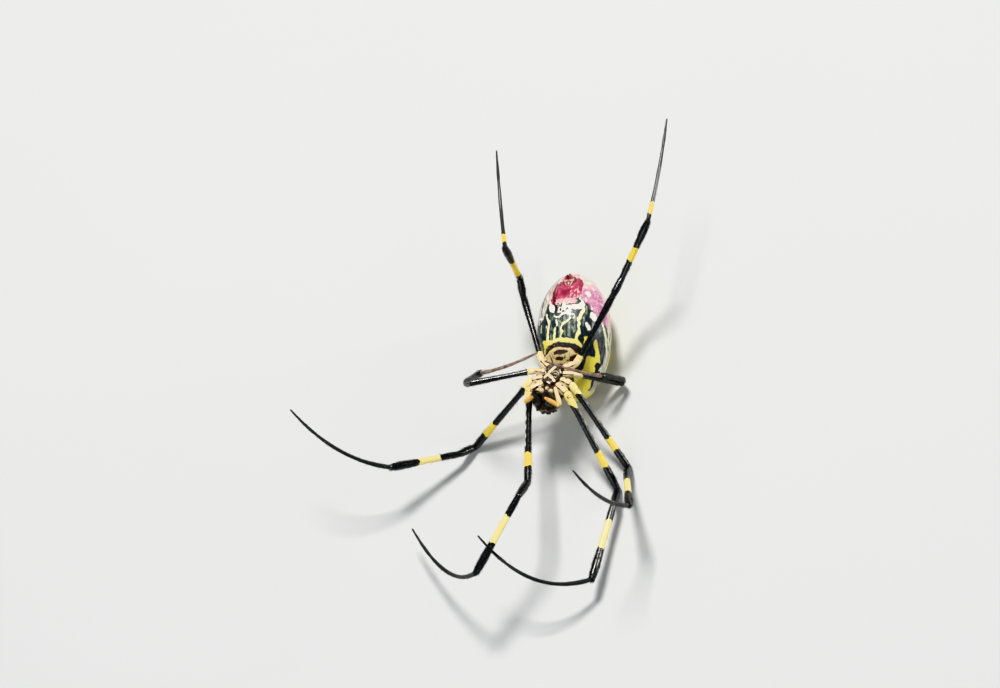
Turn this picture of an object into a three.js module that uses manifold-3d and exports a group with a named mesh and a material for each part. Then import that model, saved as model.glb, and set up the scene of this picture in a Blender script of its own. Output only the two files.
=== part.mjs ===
// A golden silk orb weaver at life size, in millimetres, lying on its back with its legs in the air.
// +Z is up and is the belly side, -Y is towards the head and +X is the spider's right side.
// Directions are [heading, rise] in degrees: 0 heads for -Y, 90 for +X, and the rise is above level.
import * as THREE from "three";
import { mergeVertices } from "three/addons/utils/BufferGeometryUtils.js";
import Module from "manifold-3d";

const wasm = await Module();
wasm.setup();

// Driving sizes of the body
const ABDOMEN = { length: 15.0, width: 8.7, front: -0.75, side: 0.95 };
const CARAPACE = { length: 6.7, width: 5.1, rear: 2.2, rim: -1.35 };
const CHEST = { centre: [-0.5, 0.23, 8.24], turn: -10, pitch: -20 };
const FLAT = 0.06; // how far a knee is pressed flat where it rests on the floor
const CUT = 0.06; // the gap at each joint
const ROUND = 8; // sides of a limb
const FINE = 6; // sides of the palps and other small rounded lengths

// Lengths along each pair of legs, from the front pair to the hind pair
const LEG_LENGTHS = [
  { femur: 12.75, patella: 2.9, tibia: 10.0, foot: 15.4 },
  { femur: 11.9, patella: 2.6, tibia: 8.8, foot: 13.8 },
  { femur: 8.1, patella: 1.8, tibia: 3.8, foot: 7.6 },
  { femur: 8.9, patella: 2.3, tibia: 7.6, foot: 12.6 },
];
// Radii at the start, middle and end of each length
const RADII = {
  coxa: [0.38, 0.56, 0.46],
  femur: [0.4, 0.42, 0.44],
  patella: [0.43, 0.46, 0.42],
  tibia: [0.41, 0.41, 0.45],
  foot: [0.28, 0.26, 0.25],
};

// Where each pair of coxae leaves the breastplate, and where it meets the femur, right side
const COXAE = [
  { from: [0.8, -1.15, -0.5], to: [2.35, -2.25, -0.75] },
  { from: [1.0, -0.35, -0.5], to: [2.5, -0.75, -0.8] },
  { from: [1.0, 0.5, -0.5], to: [2.4, 0.9, -0.75] },
  { from: [0.8, 1.3, -0.5], to: [2.1, 2.5, -0.75] },
];

// The pose, pair by pair. A femur with no rise of its own comes down until its knee rests on the floor.
const POSES = {
  right: [
    { femur: [26.5], patella: [0, 39], tibia: [-12.5, 4], foot: [[-57, 31], [-145, 16]] },
    { femur: [34.6], patella: [5, 49], tibia: [16, 42], foot: [[-33, 62], [-133, 73]] },
    { femur: [111], patella: [61, 76], tibia: [-63, 61], foot: [[-52, 60], [-107, 15]] },
    { femur: [148, 14], patella: [153, 5], tibia: [142, 35], foot: [[166, 3], [175, 2]] },
  ],
  left: [
    { femur: [4, 10], patella: [-15, 34], tibia: [-32, -12], foot: [[-97, -53], [-154, 4]] },
    { femur: [-60.8], patella: [-45, 38], tibia: [-65, 31], foot: [[-84, 37], [-139, 30]] },
    { femur: [-78, 8], patella: [50, 70], tibia: [80, 50], foot: [[75, 35], [115, 0]] },
    { femur: [-163.4, -2.5], patella: [-178, 46], tibia: [-174, 88], foot: [[-169, -19], [-178, 18]] },
  ],
};

const COLOURS = {
  skin: { color: 0x15130f, roughness: 0.35, metalness: 0 },
  band: { color: 0xe8c84a, roughness: 0.4, metalness: 0 },
  belly: { color: 0x55606a, roughness: 0.5, metalness: 0 },
  shell: { color: 0x2a2420, roughness: 0.4, metalness: 0 },
  amber: { color: 0xd98a2b, roughness: 0.4, metalness: 0 },
  eye: { color: 0x050505, roughness: 0.05, metalness: 0 },
};

// Vectors, curves and solids

const vec = (xyz) => new THREE.Vector3(...xyz);
const radians = THREE.MathUtils.degToRad;
const UP = new THREE.Vector3(0, 1, 0); // the way a lathed length is made

function direction([heading, rise]) {
  const level = Math.cos(radians(rise));
  return new THREE.Vector3(
    Math.sin(radians(heading)) * level,
    -Math.cos(radians(heading)) * level,
    Math.sin(radians(rise)),
  );
}

// A smooth line through [station, value] pairs, by a cubic between each two
function through(pairs) {
  const slope = pairs.map((pair, i) => {
    const a = pairs[Math.max(i - 1, 0)];
    const b = pairs[Math.min(i + 1, pairs.length - 1)];
    return (b[1] - a[1]) / (b[0] - a[0]);
  });
  return (at) => {
    const i = Math.min(Math.max(pairs.findIndex((pair) => pair[0] >= at) - 1, 0), pairs.length - 2);
    const [x0, y0] = pairs[i];
    const [x1, y1] = pairs[i + 1];
    const width = x1 - x0;
    const t = (at - x0) / width;
    const rest = 1 - t;
    const ends = y0 * rest * rest * (1 + 2 * t) + y1 * t * t * (3 - 2 * t);
    return ends + width * rest * t * (slope[i] * rest - slope[i + 1] * t);
  };
}

// How full a rounded form is at a station from 0 to 1: none at its ends, bluntly full between
function fullness(station, bluntness) {
  return Math.sqrt(Math.max(0, 1 - Math.abs(2 * station - 1) ** bluntness));
}

// The geometry with shared vertices merged and faces of no area left out
function closed(geometry) {
  const plain = geometry.clone();
  plain.deleteAttribute("normal");
  plain.deleteAttribute("uv");
  const merged = mergeVertices(plain, 1e-4);
  const corners = merged.index.array;
  const kept = [];
  for (let i = 0; i < corners.length; i += 3) {
    const [a, b, c] = [corners[i], corners[i + 1], corners[i + 2]];
    if (a !== b && b !== c && c !== a) kept.push(a, b, c);
  }
  merged.setIndex(kept);
  return merged;
}

function solid(geometry) {
  const shape = closed(geometry);
  return new wasm.Manifold(new wasm.Mesh({
    numProp: 3,
    vertProperties: new Float32Array(shape.attributes.position.array),
    triVerts: new Uint32Array(shape.index.array),
  }));
}

function geometryOf(manifold) {
  const mesh = manifold.getMesh();
  const geometry = new THREE.BufferGeometry();
  geometry.setAttribute("position", new THREE.BufferAttribute(mesh.vertProperties, 3));
  geometry.setIndex(new THREE.BufferAttribute(mesh.triVerts, 1));
  return geometry;
}

const joined = (geometries) => geometryOf(geometries.map(solid).reduce((a, b) => a.add(b)));
const carved = (geometry, tools) => geometryOf(tools.map(solid).reduce((a, b) => a.subtract(b), solid(geometry)));

// A block that covers everything beyond a plane, to cut with
function beyond(point, normal) {
  const size = 60;
  const block = new THREE.BoxGeometry(size, size, size);
  block.translate(0, size / 2, 0);
  block.applyQuaternion(new THREE.Quaternion().setFromUnitVectors(UP, normal));
  return block.translate(point.x, point.y, point.z);
}

// Rounded forms

// A unit ball whose points are moved by a shape: station 0 is its -Y end, and side and lift are from -1 to 1
function blob(around, along, shape) {
  const ball = new THREE.SphereGeometry(1, around, along);
  const place = ball.attributes.position;
  for (let i = 0; i < place.count; i += 1) {
    const y = place.getY(i);
    const ring = Math.hypot(place.getX(i), place.getZ(i)) || 1;
    const moved = shape((1 + y) / 2, place.getX(i) / ring, place.getZ(i) / ring);
    place.setXYZ(i, ...(Math.abs(y) > 0.9999 ? [moved[3], moved[1], moved[4]] : moved));
  }
  return ball;
}

// The outline along Y that a limb's length has, with a round end at each joint
function limbProfile(length, [start, middle, end], grow) {
  const bevel = Math.SQRT1_2;
  return [
    [0, -start - grow],
    [(start + grow) * bevel, -(start + grow) * bevel],
    [start + grow, 0],
    [middle + grow, length * 0.5],
    [end + grow, length],
    [(end + grow) * bevel, length + (end + grow) * bevel],
    [0, length + end + grow],
  ].map(([radius, height]) => new THREE.Vector2(radius, height));
}

function limb(length, radii, grow = 0, sides = ROUND) {
  return new THREE.LatheGeometry(limbProfile(length, radii, grow), sides);
}

// A limb's length between two points of the space it is made in
function limbBetween(from, to, radii, grow = 0, sides = ROUND) {
  const span = vec(to).sub(vec(from));
  const geometry = limb(span.length(), radii, grow, sides);
  geometry.applyQuaternion(new THREE.Quaternion().setFromUnitVectors(UP, span.normalize()));
  return geometry.translate(...from);
}

// A long tapering foot, made straight and then laid along its curve
function bentFoot(length, [start, middle, end], from, to) {
  const unit = new THREE.QuadraticBezierCurve3(vec([0, 0, 0]), from.clone(), from.clone().add(to));
  const scale = length / unit.getLength();
  const curve = new THREE.QuadraticBezierCurve3(...[unit.v0, unit.v1, unit.v2].map((v) => v.multiplyScalar(scale)));
  const steps = 7;
  const profile = [[0, -start], [start * Math.SQRT1_2, -start * Math.SQRT1_2]];
  for (let i = 0; i <= steps; i += 1) {
    const t = i / steps;
    const radius = THREE.MathUtils.lerp(THREE.MathUtils.lerp(start, middle, t), THREE.MathUtils.lerp(middle, end, t), t);
    profile.push([radius, t * length]);
  }
  profile.push([end * Math.SQRT1_2, length + end * Math.SQRT1_2], [0, length + end]);
  const geometry = new THREE.LatheGeometry(profile.map((p) => new THREE.Vector2(...p)), FINE);
  const side = from.clone().cross(to).normalize();
  const place = geometry.attributes.position;
  for (let i = 0; i < place.count; i += 1) {
    const along = place.getY(i) / length;
    const on = Math.min(Math.max(along, 0), 1);
    const way = curve.getTangent(on);
    const out = side.clone().cross(way);
    const point = curve.getPoint(on).addScaledVector(way, (along - on) * length);
    // The ring turns about Y, so its X goes outwards and its Z to the other side of the curve's plane
    point.addScaledVector(out, place.getX(i)).addScaledVector(side, -place.getZ(i));
    place.setXYZ(i, point.x, point.y, point.z);
  }
  return geometry;
}

// The model and its groups

const model = new THREE.Group();
const chest = new THREE.Group();
chest.position.set(...CHEST.centre);
chest.rotation.set(radians(CHEST.pitch), 0, radians(CHEST.turn), "ZXY");
model.add(chest);
chest.updateMatrixWorld(true);

function addMesh(parent, name, geometry, colour) {
  const mesh = new THREE.Mesh(geometry, new THREE.MeshStandardMaterial(COLOURS[colour]));
  mesh.name = name;
  parent.add(mesh);
  return mesh;
}

const SIDES = [["right", 1], ["left", -1]];
const mirrored = ([x, y, z], side) => [x * side, y, z];

// Legs

const ORDER = ["femur", "patella", "tibia", "foot"];
const coxaGeometry = (pair, side, grow = 0) =>
  limbBetween(mirrored(COXAE[pair].from, side), mirrored(COXAE[pair].to, side), RADII.coxa, grow);

// The plane that halves a joint, as the unit vector between the two lengths that meet there
const halving = (before, after) => before.clone().add(after).normalize();

function addLeg(pair, sideName, side) {
  const sizes = LEG_LENGTHS[pair];
  const pose = POSES[sideName][pair];
  const name = (part) => `leg${pair + 1}_${sideName}_${part}`;
  const hip = chest.localToWorld(vec(mirrored(COXAE[pair].to, side)));
  const kneeHeight = RADII.femur[2] - FLAT;
  const lowering = THREE.MathUtils.radToDeg(Math.asin((kneeHeight - hip.z) / sizes.femur));
  const ways = {
    femur: direction([pose.femur[0], pose.femur[1] ?? lowering]),
    patella: direction(pose.patella),
    tibia: direction(pose.tibia),
    foot: direction(pose.foot[0]),
  };

  const coxaWay = vec(mirrored(COXAE[pair].to, side)).sub(vec(mirrored(COXAE[pair].from, side))).normalize();
  const hipPlane = halving(coxaWay, ways.femur.clone().transformDirection(chest.matrixWorld.clone().invert()));
  const coxaEnd = vec(mirrored(COXAE[pair].to, side)).addScaledVector(hipPlane, -CUT / 2);
  const neighbour = pair > 0 ? [coxaGeometry(pair - 1, side, CUT)] : [];
  addMesh(chest, name("coxa"), carved(coxaGeometry(pair, side), [beyond(coxaEnd, hipPlane), ...neighbour]), "band");

  const joint = hip.clone();
  let before = coxaWay.clone().transformDirection(chest.matrixWorld);
  ORDER.forEach((part, i) => {
    const way = ways[part];
    const length = sizes[part];
    const turn = new THREE.Quaternion().setFromUnitVectors(UP, way);
    const isFoot = part === "foot";
    const shape = isFoot
      ? bentFoot(length, RADII.foot, way, direction(pose.foot[1]))
      : limb(length, RADII[part]);
    const inward = isFoot ? new THREE.Quaternion() : turn.clone().invert();
    const startPlane = halving(before, way).negate().applyQuaternion(inward);
    const tools = [beyond(startPlane.clone().multiplyScalar(-CUT / 2), startPlane)];
    if (!isFoot) {
      const endPlane = halving(way, ways[ORDER[i + 1]]).applyQuaternion(inward);
      const end = UP.clone().multiplyScalar(length).addScaledVector(endPlane, -CUT / 2);
      tools.push(beyond(end, endPlane));
    }
    const floor = vec([0, 0, -joint.z]).applyQuaternion(inward);
    tools.push(beyond(floor, vec([0, 0, -1]).applyQuaternion(inward)));
    const mesh = addMesh(model, name(part), carved(shape, tools), part === "tibia" ? "band" : "skin");
    mesh.position.copy(joint);
    if (!isFoot) mesh.quaternion.copy(turn);
    joint.addScaledVector(way, length);
    before = way;
  });
}

LEG_LENGTHS.forEach((sizes, pair) => SIDES.forEach(([sideName, side]) => addLeg(pair, sideName, side)));
const allCoxae = LEG_LENGTHS.flatMap((sizes, pair) => SIDES.map(([, side]) => coxaGeometry(pair, side, CUT)));

// Jaws, feelers and mouth

const JAW = { top: [0.74, -3.75, -1.15], bottom: [0.7, -4.2, 0.95], radii: [0.62, 0.7, 0.45] };
const jaw = (side, grow = 0) => limbBetween(mirrored(JAW.top, side), mirrored(JAW.bottom, side), JAW.radii, grow);

// The palps, right side. The left one is held closer in by this share.
const PALP_TUCK = 0.82;
const PALP = {
  points: [[1.0, -2.3, 0], [2.2, -4.65, 0.1], [2.1, -5.1, 0.4], [0.75, -5.2, 1.5]],
  radii: [[0.25, 0.27, 0.26], [0.26, 0.27, 0.26], [0.27, 0.3, 0.22]],
};

function palp(side, grow = 0) {
  const points = PALP.points.map((point) => mirrored(point, side > 0 ? side : side * PALP_TUCK));
  return joined(PALP.radii.map((radii, i) => limbBetween(points[i], points[i + 1], radii, grow, FINE)));
}

const LIP = { from: [0, -1.75, -0.35], to: [0, -2.4, -0.2], radii: [0.34, 0.36, 0.3] };
const LOBE = { from: [0.45, -1.95, -0.4], to: [0.62, -2.9, -0.05], radii: [0.34, 0.36, 0.3] };
const mouth = (grow = 0) => joined([
  limbBetween(LIP.from, LIP.to, LIP.radii, grow),
  ...SIDES.map(([, side]) => limbBetween(mirrored(LOBE.from, side), mirrored(LOBE.to, side), LOBE.radii, grow)),
]);

const FANG = { from: [0.78, -4.25, 1.66], to: [0.2, -3.8, 1.72], radii: [0.17, 0.13, 0.06] };

SIDES.forEach(([sideName, side]) => {
  addMesh(chest, `jaw_${sideName}`, carved(jaw(side), [mouth(CUT), palp(side, CUT)]), "shell");
  addMesh(chest, `fang_${sideName}`,
    carved(limbBetween(mirrored(FANG.from, side), mirrored(FANG.to, side), FANG.radii), [jaw(side, CUT / 2)]), "shell");
  addMesh(chest, `palp_${sideName}`, carved(palp(side), [...allCoxae, mouth(CUT)]), "amber");
});
addMesh(chest, "mouth", carved(mouth(), allCoxae), "shell");

// The head and thorax: a domed shell, high at the head and widest between the second legs

const shellWidth = through([[0, 0.56], [0.1, 0.64], [0.28, 0.66], [0.45, 0.8], [0.66, 1], [0.85, 0.9], [1, 0.72]]);
const shellDepth = through([[0, 1.35], [0.12, 1.5], [0.3, 1.62], [0.5, 1.2], [0.7, 1.3], [0.9, 1.1], [1, 0.7]]);
const shellRise = through([[0, 0.5], [0.25, 0.45], [0.45, 0.3], [1, 0.25]]);

function shellPoint(station, side, lift) {
  const full = fullness(station, station < 0.5 ? 6 : 3.4);
  const height = lift > 0 ? shellRise(station) : shellDepth(station);
  return [
    side * (CARAPACE.width / 2) * shellWidth(station) * full,
    CARAPACE.rear - CARAPACE.length * (1 - station),
    CARAPACE.rim + lift * height * full,
    0,
    CARAPACE.rim,
  ];
}
const shell = blob(16, 11, shellPoint);

// Eyes: two pairs near the middle of the head and a close pair on each side of it

// Each is set on the shell, at a station along it and an angle from the middle of the back
const EYES = {
  middle_front: { station: 0.04, turn: 18, radius: 0.17 },
  middle_rear: { station: 0.1, turn: 15, radius: 0.17 },
  side_front: { station: 0.07, turn: 52, radius: 0.14 },
  side_rear: { station: 0.12, turn: 50, radius: 0.14 },
};
const eyeTools = [];
SIDES.forEach(([sideName, side]) => {
  Object.entries(EYES).forEach(([place, { station, turn, radius }]) => {
    const at = shellPoint(station, side * Math.sin(radians(turn)), -Math.cos(radians(turn))).slice(0, 3);
    const mesh = addMesh(chest, `eye_${place}_${sideName}`, new THREE.SphereGeometry(radius, 8, 6), "eye");
    mesh.position.set(...at);
    eyeTools.push(new THREE.SphereGeometry(radius + CUT, FINE, 4).translate(...at));
  });
});

// The narrow core of the chest between the legs
const core = blob(10, 5, (station, side, lift) => {
  const full = fullness(station, 4);
  return [side * 1.12 * full, THREE.MathUtils.lerp(-2.3, 1.9, station), -1.0 + lift * 0.62 * full, 0, -1.0];
});

// The waist runs from a socket in the thorax to one in the abdomen
const WAIST = { from: [0, 1.7, -1.5], to: [0, 3.3, -1.9], radii: [0.42, 0.36, 0.42] };
const waist = (grow = 0) => limbBetween(WAIST.from, WAIST.to, WAIST.radii, grow);
addMesh(chest, "waist", waist(), "skin");

addMesh(chest, "head_thorax",
  carved(joined([shell, core]),
    [...allCoxae, jaw(1, CUT), jaw(-1, CUT), mouth(CUT), waist(CUT), ...eyeTools]), "shell");

const plateHalfWidth = through([[0, 0.75], [0.25, 1.0], [0.6, 0.9], [1, 0.42]]);
const breastplate = blob(14, 6, (station, side, lift) => {
  const full = fullness(station, 3);
  return [side * plateHalfWidth(station) * full, THREE.MathUtils.lerp(-1.65, 1.6, station), -0.12 + lift * 0.2 * full, 0, -0.12];
});
addMesh(chest, "breastplate", carved(breastplate, [...allCoxae, mouth(CUT)]), "shell");

// The abdomen: blunt in front, where it bulges past the waist, and flat on the floor along its back

const axisHeight = through([[0, 2.6], [0.3, 3.6], [0.6, 4.4], [1, 4.5]]);
const bellyRise = through([[0, 1.6], [0.12, 1.8], [0.24, 3.2], [0.36, 4.2], [0.6, 4.3], [0.85, 3.9], [1, 3.5]]);
const backDepth = through([[0, 2.7], [0.3, 4.1], [0.6, 4.7], [0.85, 4.6], [1, 4.2]]);
const abdomenHalfWidth = through([[0, 3.3], [0.25, 3.95], [0.5, ABDOMEN.width / 2], [0.8, 3.95], [1, 3.3]]);

const sack = blob(24, 17, (station, side, lift) => {
  const full = fullness(station, 3.2);
  const axis = axisHeight(station);
  const height = lift > 0 ? bellyRise(station) : backDepth(station);
  return [
    ABDOMEN.side + side * abdomenHalfWidth(station) * full,
    ABDOMEN.front + ABDOMEN.length * station,
    axis + lift * height * full,
    ABDOMEN.side,
    axis,
  ];
});

// Spinnerets: a front pair, a hind pair and the small lobe behind them, on one low cushion

const SPINNERETS = { at: [ABDOMEN.side, 12.3, 7.15], tilt: 34 };
const CONES = [
  { from: [0.34, -0.3], to: [0.24, -0.22], height: 0.78, radii: [0.36, 0.34, 0.2] },
  { from: [-0.34, -0.3], to: [-0.24, -0.22], height: 0.78, radii: [0.36, 0.34, 0.2] },
  { from: [0.3, 0.34], to: [0.2, 0.24], height: 0.62, radii: [0.3, 0.27, 0.16] },
  { from: [-0.3, 0.34], to: [-0.2, 0.24], height: 0.62, radii: [0.3, 0.27, 0.16] },
  { from: [0, 0.78], to: [0, 0.72], height: 0.4, radii: [0.26, 0.24, 0.15] },
];
const cushion = (grow) => new THREE.SphereGeometry(1, 12, 8).scale(0.95 + grow, 1.1 + grow, 0.55 + grow);
const spinneretTurn = new THREE.Quaternion().setFromAxisAngle(vec([1, 0, 0]), radians(-SPINNERETS.tilt));
const spinnerets = joined([
  cushion(0),
  ...CONES.map(({ from, to, height, radii }) => limbBetween([...from, 0.1], [...to, height], radii, 0, FINE)),
]);
const socket = cushion(CUT).applyQuaternion(spinneretTurn).translate(...SPINNERETS.at);
const cluster = addMesh(model, "spinnerets", spinnerets, "amber");
cluster.position.set(...SPINNERETS.at);
cluster.quaternion.copy(spinneretTurn);

const underFloor = beyond(vec([0, 0, 0]), vec([0, 0, -1]));
const waistTool = waist(CUT).applyMatrix4(chest.matrixWorld);
addMesh(model, "abdomen", carved(sack, [socket, waistTool, underFloor]), "belly");

// The origin is under the middle of the box that holds the whole spider
model.updateMatrixWorld(true);
const middle = new THREE.Box3().setFromObject(model, true).getCenter(new THREE.Vector3());
model.position.set(-middle.x, -middle.y, 0);

export default model;
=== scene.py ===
# The looks of a golden silk orb weaver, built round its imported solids.
# Lengths are in millimetres until a mesh is made. +Z is the belly's side, -Y the head end and +X the right.
import math

import bpy
import bmesh
import numpy as np
from mathutils import Matrix, Vector
from mathutils.bvhtree import BVHTree


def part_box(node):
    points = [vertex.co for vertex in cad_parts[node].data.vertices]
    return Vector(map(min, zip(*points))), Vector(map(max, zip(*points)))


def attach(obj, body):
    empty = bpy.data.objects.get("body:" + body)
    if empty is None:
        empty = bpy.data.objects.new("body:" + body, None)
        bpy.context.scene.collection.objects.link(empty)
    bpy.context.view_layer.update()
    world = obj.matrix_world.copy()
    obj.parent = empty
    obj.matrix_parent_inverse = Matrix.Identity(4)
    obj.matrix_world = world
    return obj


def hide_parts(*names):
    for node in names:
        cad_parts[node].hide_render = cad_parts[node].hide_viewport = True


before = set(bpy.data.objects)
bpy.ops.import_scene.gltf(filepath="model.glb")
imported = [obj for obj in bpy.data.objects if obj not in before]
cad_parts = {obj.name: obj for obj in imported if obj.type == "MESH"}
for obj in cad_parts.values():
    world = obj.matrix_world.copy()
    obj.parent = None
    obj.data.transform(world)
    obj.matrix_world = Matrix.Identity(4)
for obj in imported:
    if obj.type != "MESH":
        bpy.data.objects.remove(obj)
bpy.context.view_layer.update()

MM = 0.001
SIDES = (("right", 1), ("left", -1))
WHOLE = ((0.02, 0.02), (0.98, 0.98))  # the place on the unwrap of a piece that has it to itself
random = np.random.default_rng(20)


# Numbers and vectors

def unit(v):
    v = np.asarray(v, float)
    return v / np.maximum(np.linalg.norm(v, axis=-1, keepdims=True), 1e-12)


def span(a, b):
    return float(np.linalg.norm(b - a))


def smooth(x, low=0.0, high=1.0):
    t = np.clip((np.asarray(x, float) - low) / (high - low), 0, 1)
    return t * t * (3 - 2 * t)


def bump(x, centre, width):
    return np.exp(-(((np.asarray(x, float) - centre) / width) ** 2))


def union(*fields):
    return np.maximum.reduce(np.broadcast_arrays(*fields))


def turns(count):
    return np.arange(count) * 2 * math.pi / count


def profile(t, power):
    """A closed outline over 0 to 1: fuller, with blunter ends, as the power rises."""
    return np.sqrt(1 - np.abs(2 * t - 1) ** power)


def closing(rows, margin):
    """Stations over 0 to 1 that draw together at both ends."""
    return (1 - np.cos(np.linspace(margin, math.pi - margin, rows))) / 2


def arc(start, bend, end, steps):
    """Points of a line from start to end that is drawn towards bend."""
    t = np.linspace(0, 1, steps)[:, None]
    return start * (1 - t) ** 2 + 2 * bend * t * (1 - t) + end * t**2


def through(pairs):
    """A smooth line through [station, value] pairs."""
    xs, ys = np.array(pairs, float).T
    slopes = np.gradient(ys, xs)

    def line(at):
        at = np.clip(np.asarray(at, float), xs[0], xs[-1])
        i = np.clip(np.searchsorted(xs, at) - 1, 0, len(xs) - 2)
        width = xs[i + 1] - xs[i]
        t = (at - xs[i]) / width
        rest = 1 - t
        ends = ys[i] * rest**2 * (1 + 2 * t) + ys[i + 1] * t**2 * (3 - 2 * t)
        return ends + width * rest * t * (slopes[i] * rest - slopes[i + 1] * t)

    return line


def waves(x, y, scale, seed):
    """A smooth random field from -1 to 1 whose swellings are about scale across."""
    maker = np.random.default_rng(seed)
    total = 0.0
    for _ in range(7):
        angle, phase = maker.uniform(0, 2 * math.pi, 2)
        pace = 2 * math.pi / (scale * maker.uniform(0.7, 1.9))
        total = total + np.sin(pace * (x * math.cos(angle) + y * math.sin(angle)) + phase)
    return total / 4


def turned(v, axis, degrees):
    """v turned about an axis of length 1 by the right-hand rule."""
    a = math.radians(degrees)
    v, axis = np.array(v, float), np.array(axis, float)
    return v * math.cos(a) + np.cross(axis, v) * math.sin(a) + axis * (v @ axis) * (1 - math.cos(a))


# Reading the solids

def corners(name):
    """The lowest and the highest corner of a node's box."""
    return [np.array(corner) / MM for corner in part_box(name)]


def node_points(name):
    return np.array([v.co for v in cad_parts[name].data.vertices], float) / MM


def node_tree(name):
    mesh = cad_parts[name].data
    return BVHTree.FromPolygons([v.co / MM for v in mesh.vertices], [p.vertices for p in mesh.polygons])


def node_centre(name):
    return sum(corners(name)) / 2


def joint_between(first, second):
    """The middle of the flat face that one node turns to the next across the thin gap at a joint."""
    other = node_tree(second)
    total, weight = np.zeros(3), 0.0
    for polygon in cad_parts[first].data.polygons:
        hit, normal, _, _ = other.ray_cast(polygon.center / MM, polygon.normal, 0.12)
        if hit is not None and normal.dot(polygon.normal) < -0.99:
            total += np.array((polygon.center / MM + hit) / 2) * polygon.area
            weight += polygon.area
    return total / weight


# The chest's own axes: across to the right, back towards the waist and out of the belly
CHEST_TURN = 10
CHEST_RISE = 20
PLATE_MIDDLE = (-0.055, -0.012, -0.115)  # the middle of the breastplate's solid on the chest's axes

chest_across = turned((1, 0, 0), (0, 0, 1), -CHEST_TURN)
chest_back = turned(turned((0, 1, 0), (0, 0, 1), -CHEST_TURN), chest_across, -CHEST_RISE)
chest_out = np.cross(chest_across, chest_back)
CHEST_AXES = np.array((chest_across, chest_back, chest_out))
chest_origin = node_centre("breastplate") - np.array(PLATE_MIDDLE) @ CHEST_AXES


def chest(x, y, z):
    """A point of the chest, from its own axes to the frame's."""
    return chest_origin + np.stack(np.broadcast_arrays(x, y, z), axis=-1) @ CHEST_AXES


def local(points):
    """Points of the frame on the chest's own axes."""
    return (np.asarray(points) - chest_origin) @ CHEST_AXES.T


# Surfaces: grids of points that carry their markings and their place on the unwrap

class Unwrap:
    """Shares the unit square out among patches, in strips of the skin's own size."""

    def __init__(self, size):
        self.size, self.left, self.bottom, self.widest = size, 0.6, 0.6, 0.0

    def patch(self, width, height, new_strip=False):
        if new_strip or self.bottom + height > self.size:
            self.left += self.widest + 0.4
            self.bottom, self.widest = 0.6, 0.0
        low = (self.left / self.size, self.bottom / self.size)
        high = ((self.left + width) / self.size, (self.bottom + height) / self.size)
        self.bottom += height + 0.4
        self.widest = max(self.widest, width)
        return low, high


class Patch:
    """One closed ring after another, from pole to pole. Its facts are what its hairs need to know."""

    def __init__(self, rings, marks=None, place=WHOLE, **facts):
        self.rings, self.marks, self.place = rings, marks or {}, place
        vars(self).update(facts)
        ahead = np.gradient(rings, axis=0)
        beside = np.roll(rings, -1, axis=1) - np.roll(rings, 1, axis=1)
        self.along = unit(ahead)
        self.normals = unit(np.cross(beside, ahead))
        if ((rings - rings.mean(axis=1, keepdims=True)) * self.normals).sum() < 0:
            self.normals = -self.normals


class Sheet:
    """Gathers patches or hairs into one mesh with its marks and its OFBake map."""

    def __init__(self, patches=()):
        self.points, self.faces, self.maps, self.slots = [], [], [], []
        self.marks = {}
        self.count = 0
        for patch in patches:
            self.patch(patch)

    def add(self, points, faces, maps, marks, slot=0):
        self.points.append(np.asarray(points, float))
        self.faces.extend([tuple(int(i) + self.count for i in face) for face in faces])
        self.maps.append(np.asarray(maps, float))
        self.slots.extend([slot] * len(faces))
        for name in set(self.marks) | set(marks):
            done = self.marks.setdefault(name, [np.zeros(self.count)])
            done.append(np.broadcast_to(marks.get(name, 0.0), len(points)).astype(float))
        self.count += len(points)

    def patch(self, patch, slot=0):
        """Adds a patch, with a pole at each end."""
        rows, columns = patch.rings.shape[:2]
        end = rows - 1
        first, last = rows * columns, rows * columns + 1
        (u0, v0), (u1, v1) = patch.place
        faces, spots = [], []
        for i in range(end):
            for j in range(columns):
                k = (j + 1) % columns
                faces.append((i * columns + j, i * columns + k, (i + 1) * columns + k, (i + 1) * columns + j))
                spots += (i, j), (i, j + 1), (i + 1, j + 1), (i + 1, j)
        for j in range(columns):
            k = (j + 1) % columns
            faces += (first, k, j), (last, end * columns + j, end * columns + k)
            spots += (0, j), (0, j + 1), (0, j), (end, j), (end, j), (end, j + 1)
        maps = [(u0 + (u1 - u0) * j / columns, v0 + (v1 - v0) * i / end) for i, j in spots]
        marks = {}
        for name, values in patch.marks.items():
            grid = np.broadcast_to(values, (rows, columns))
            marks[name] = np.concatenate([grid.ravel(), [grid[0].mean(), grid[-1].mean()]])
        points = np.concatenate([patch.rings.reshape(-1, 3), patch.rings[[0, -1]].mean(axis=1)])
        self.add(points, faces, maps, marks, slot)

    def make(self, name, materials, slot, *replaced, mapped=True):
        """Makes the piece in place of the nodes that it replaces. Its slot argument is not used."""
        mesh = bpy.data.meshes.new(name)
        mesh.from_pydata(np.concatenate(self.points) * MM, [], self.faces)
        for mark, values in self.marks.items():
            attribute = mesh.attributes.new(mark, "FLOAT", "POINT")
            attribute.data.foreach_set("value", np.concatenate(values).astype(np.float32))
        if mapped:
            layer = mesh.uv_layers.new(name="OFBake")
            layer.data.foreach_set("uv", np.concatenate(self.maps).astype(np.float32).ravel())
        for material in materials:
            mesh.materials.append(material)
        mesh.polygons.foreach_set("material_index", self.slots)
        mesh.polygons.foreach_set("use_smooth", [True] * len(mesh.polygons))
        shape = bmesh.new()
        shape.from_mesh(mesh)
        bmesh.ops.recalc_face_normals(shape, faces=shape.faces)
        shape.to_mesh(mesh)
        shape.free()
        piece = placed(name, mesh)
        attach(piece, "root")
        if replaced:
            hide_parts(*replaced)


def placed(name, data):
    """A new object in the scene."""
    piece = bpy.data.objects.new(name, data)
    bpy.context.scene.collection.objects.link(piece)
    return piece


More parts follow.
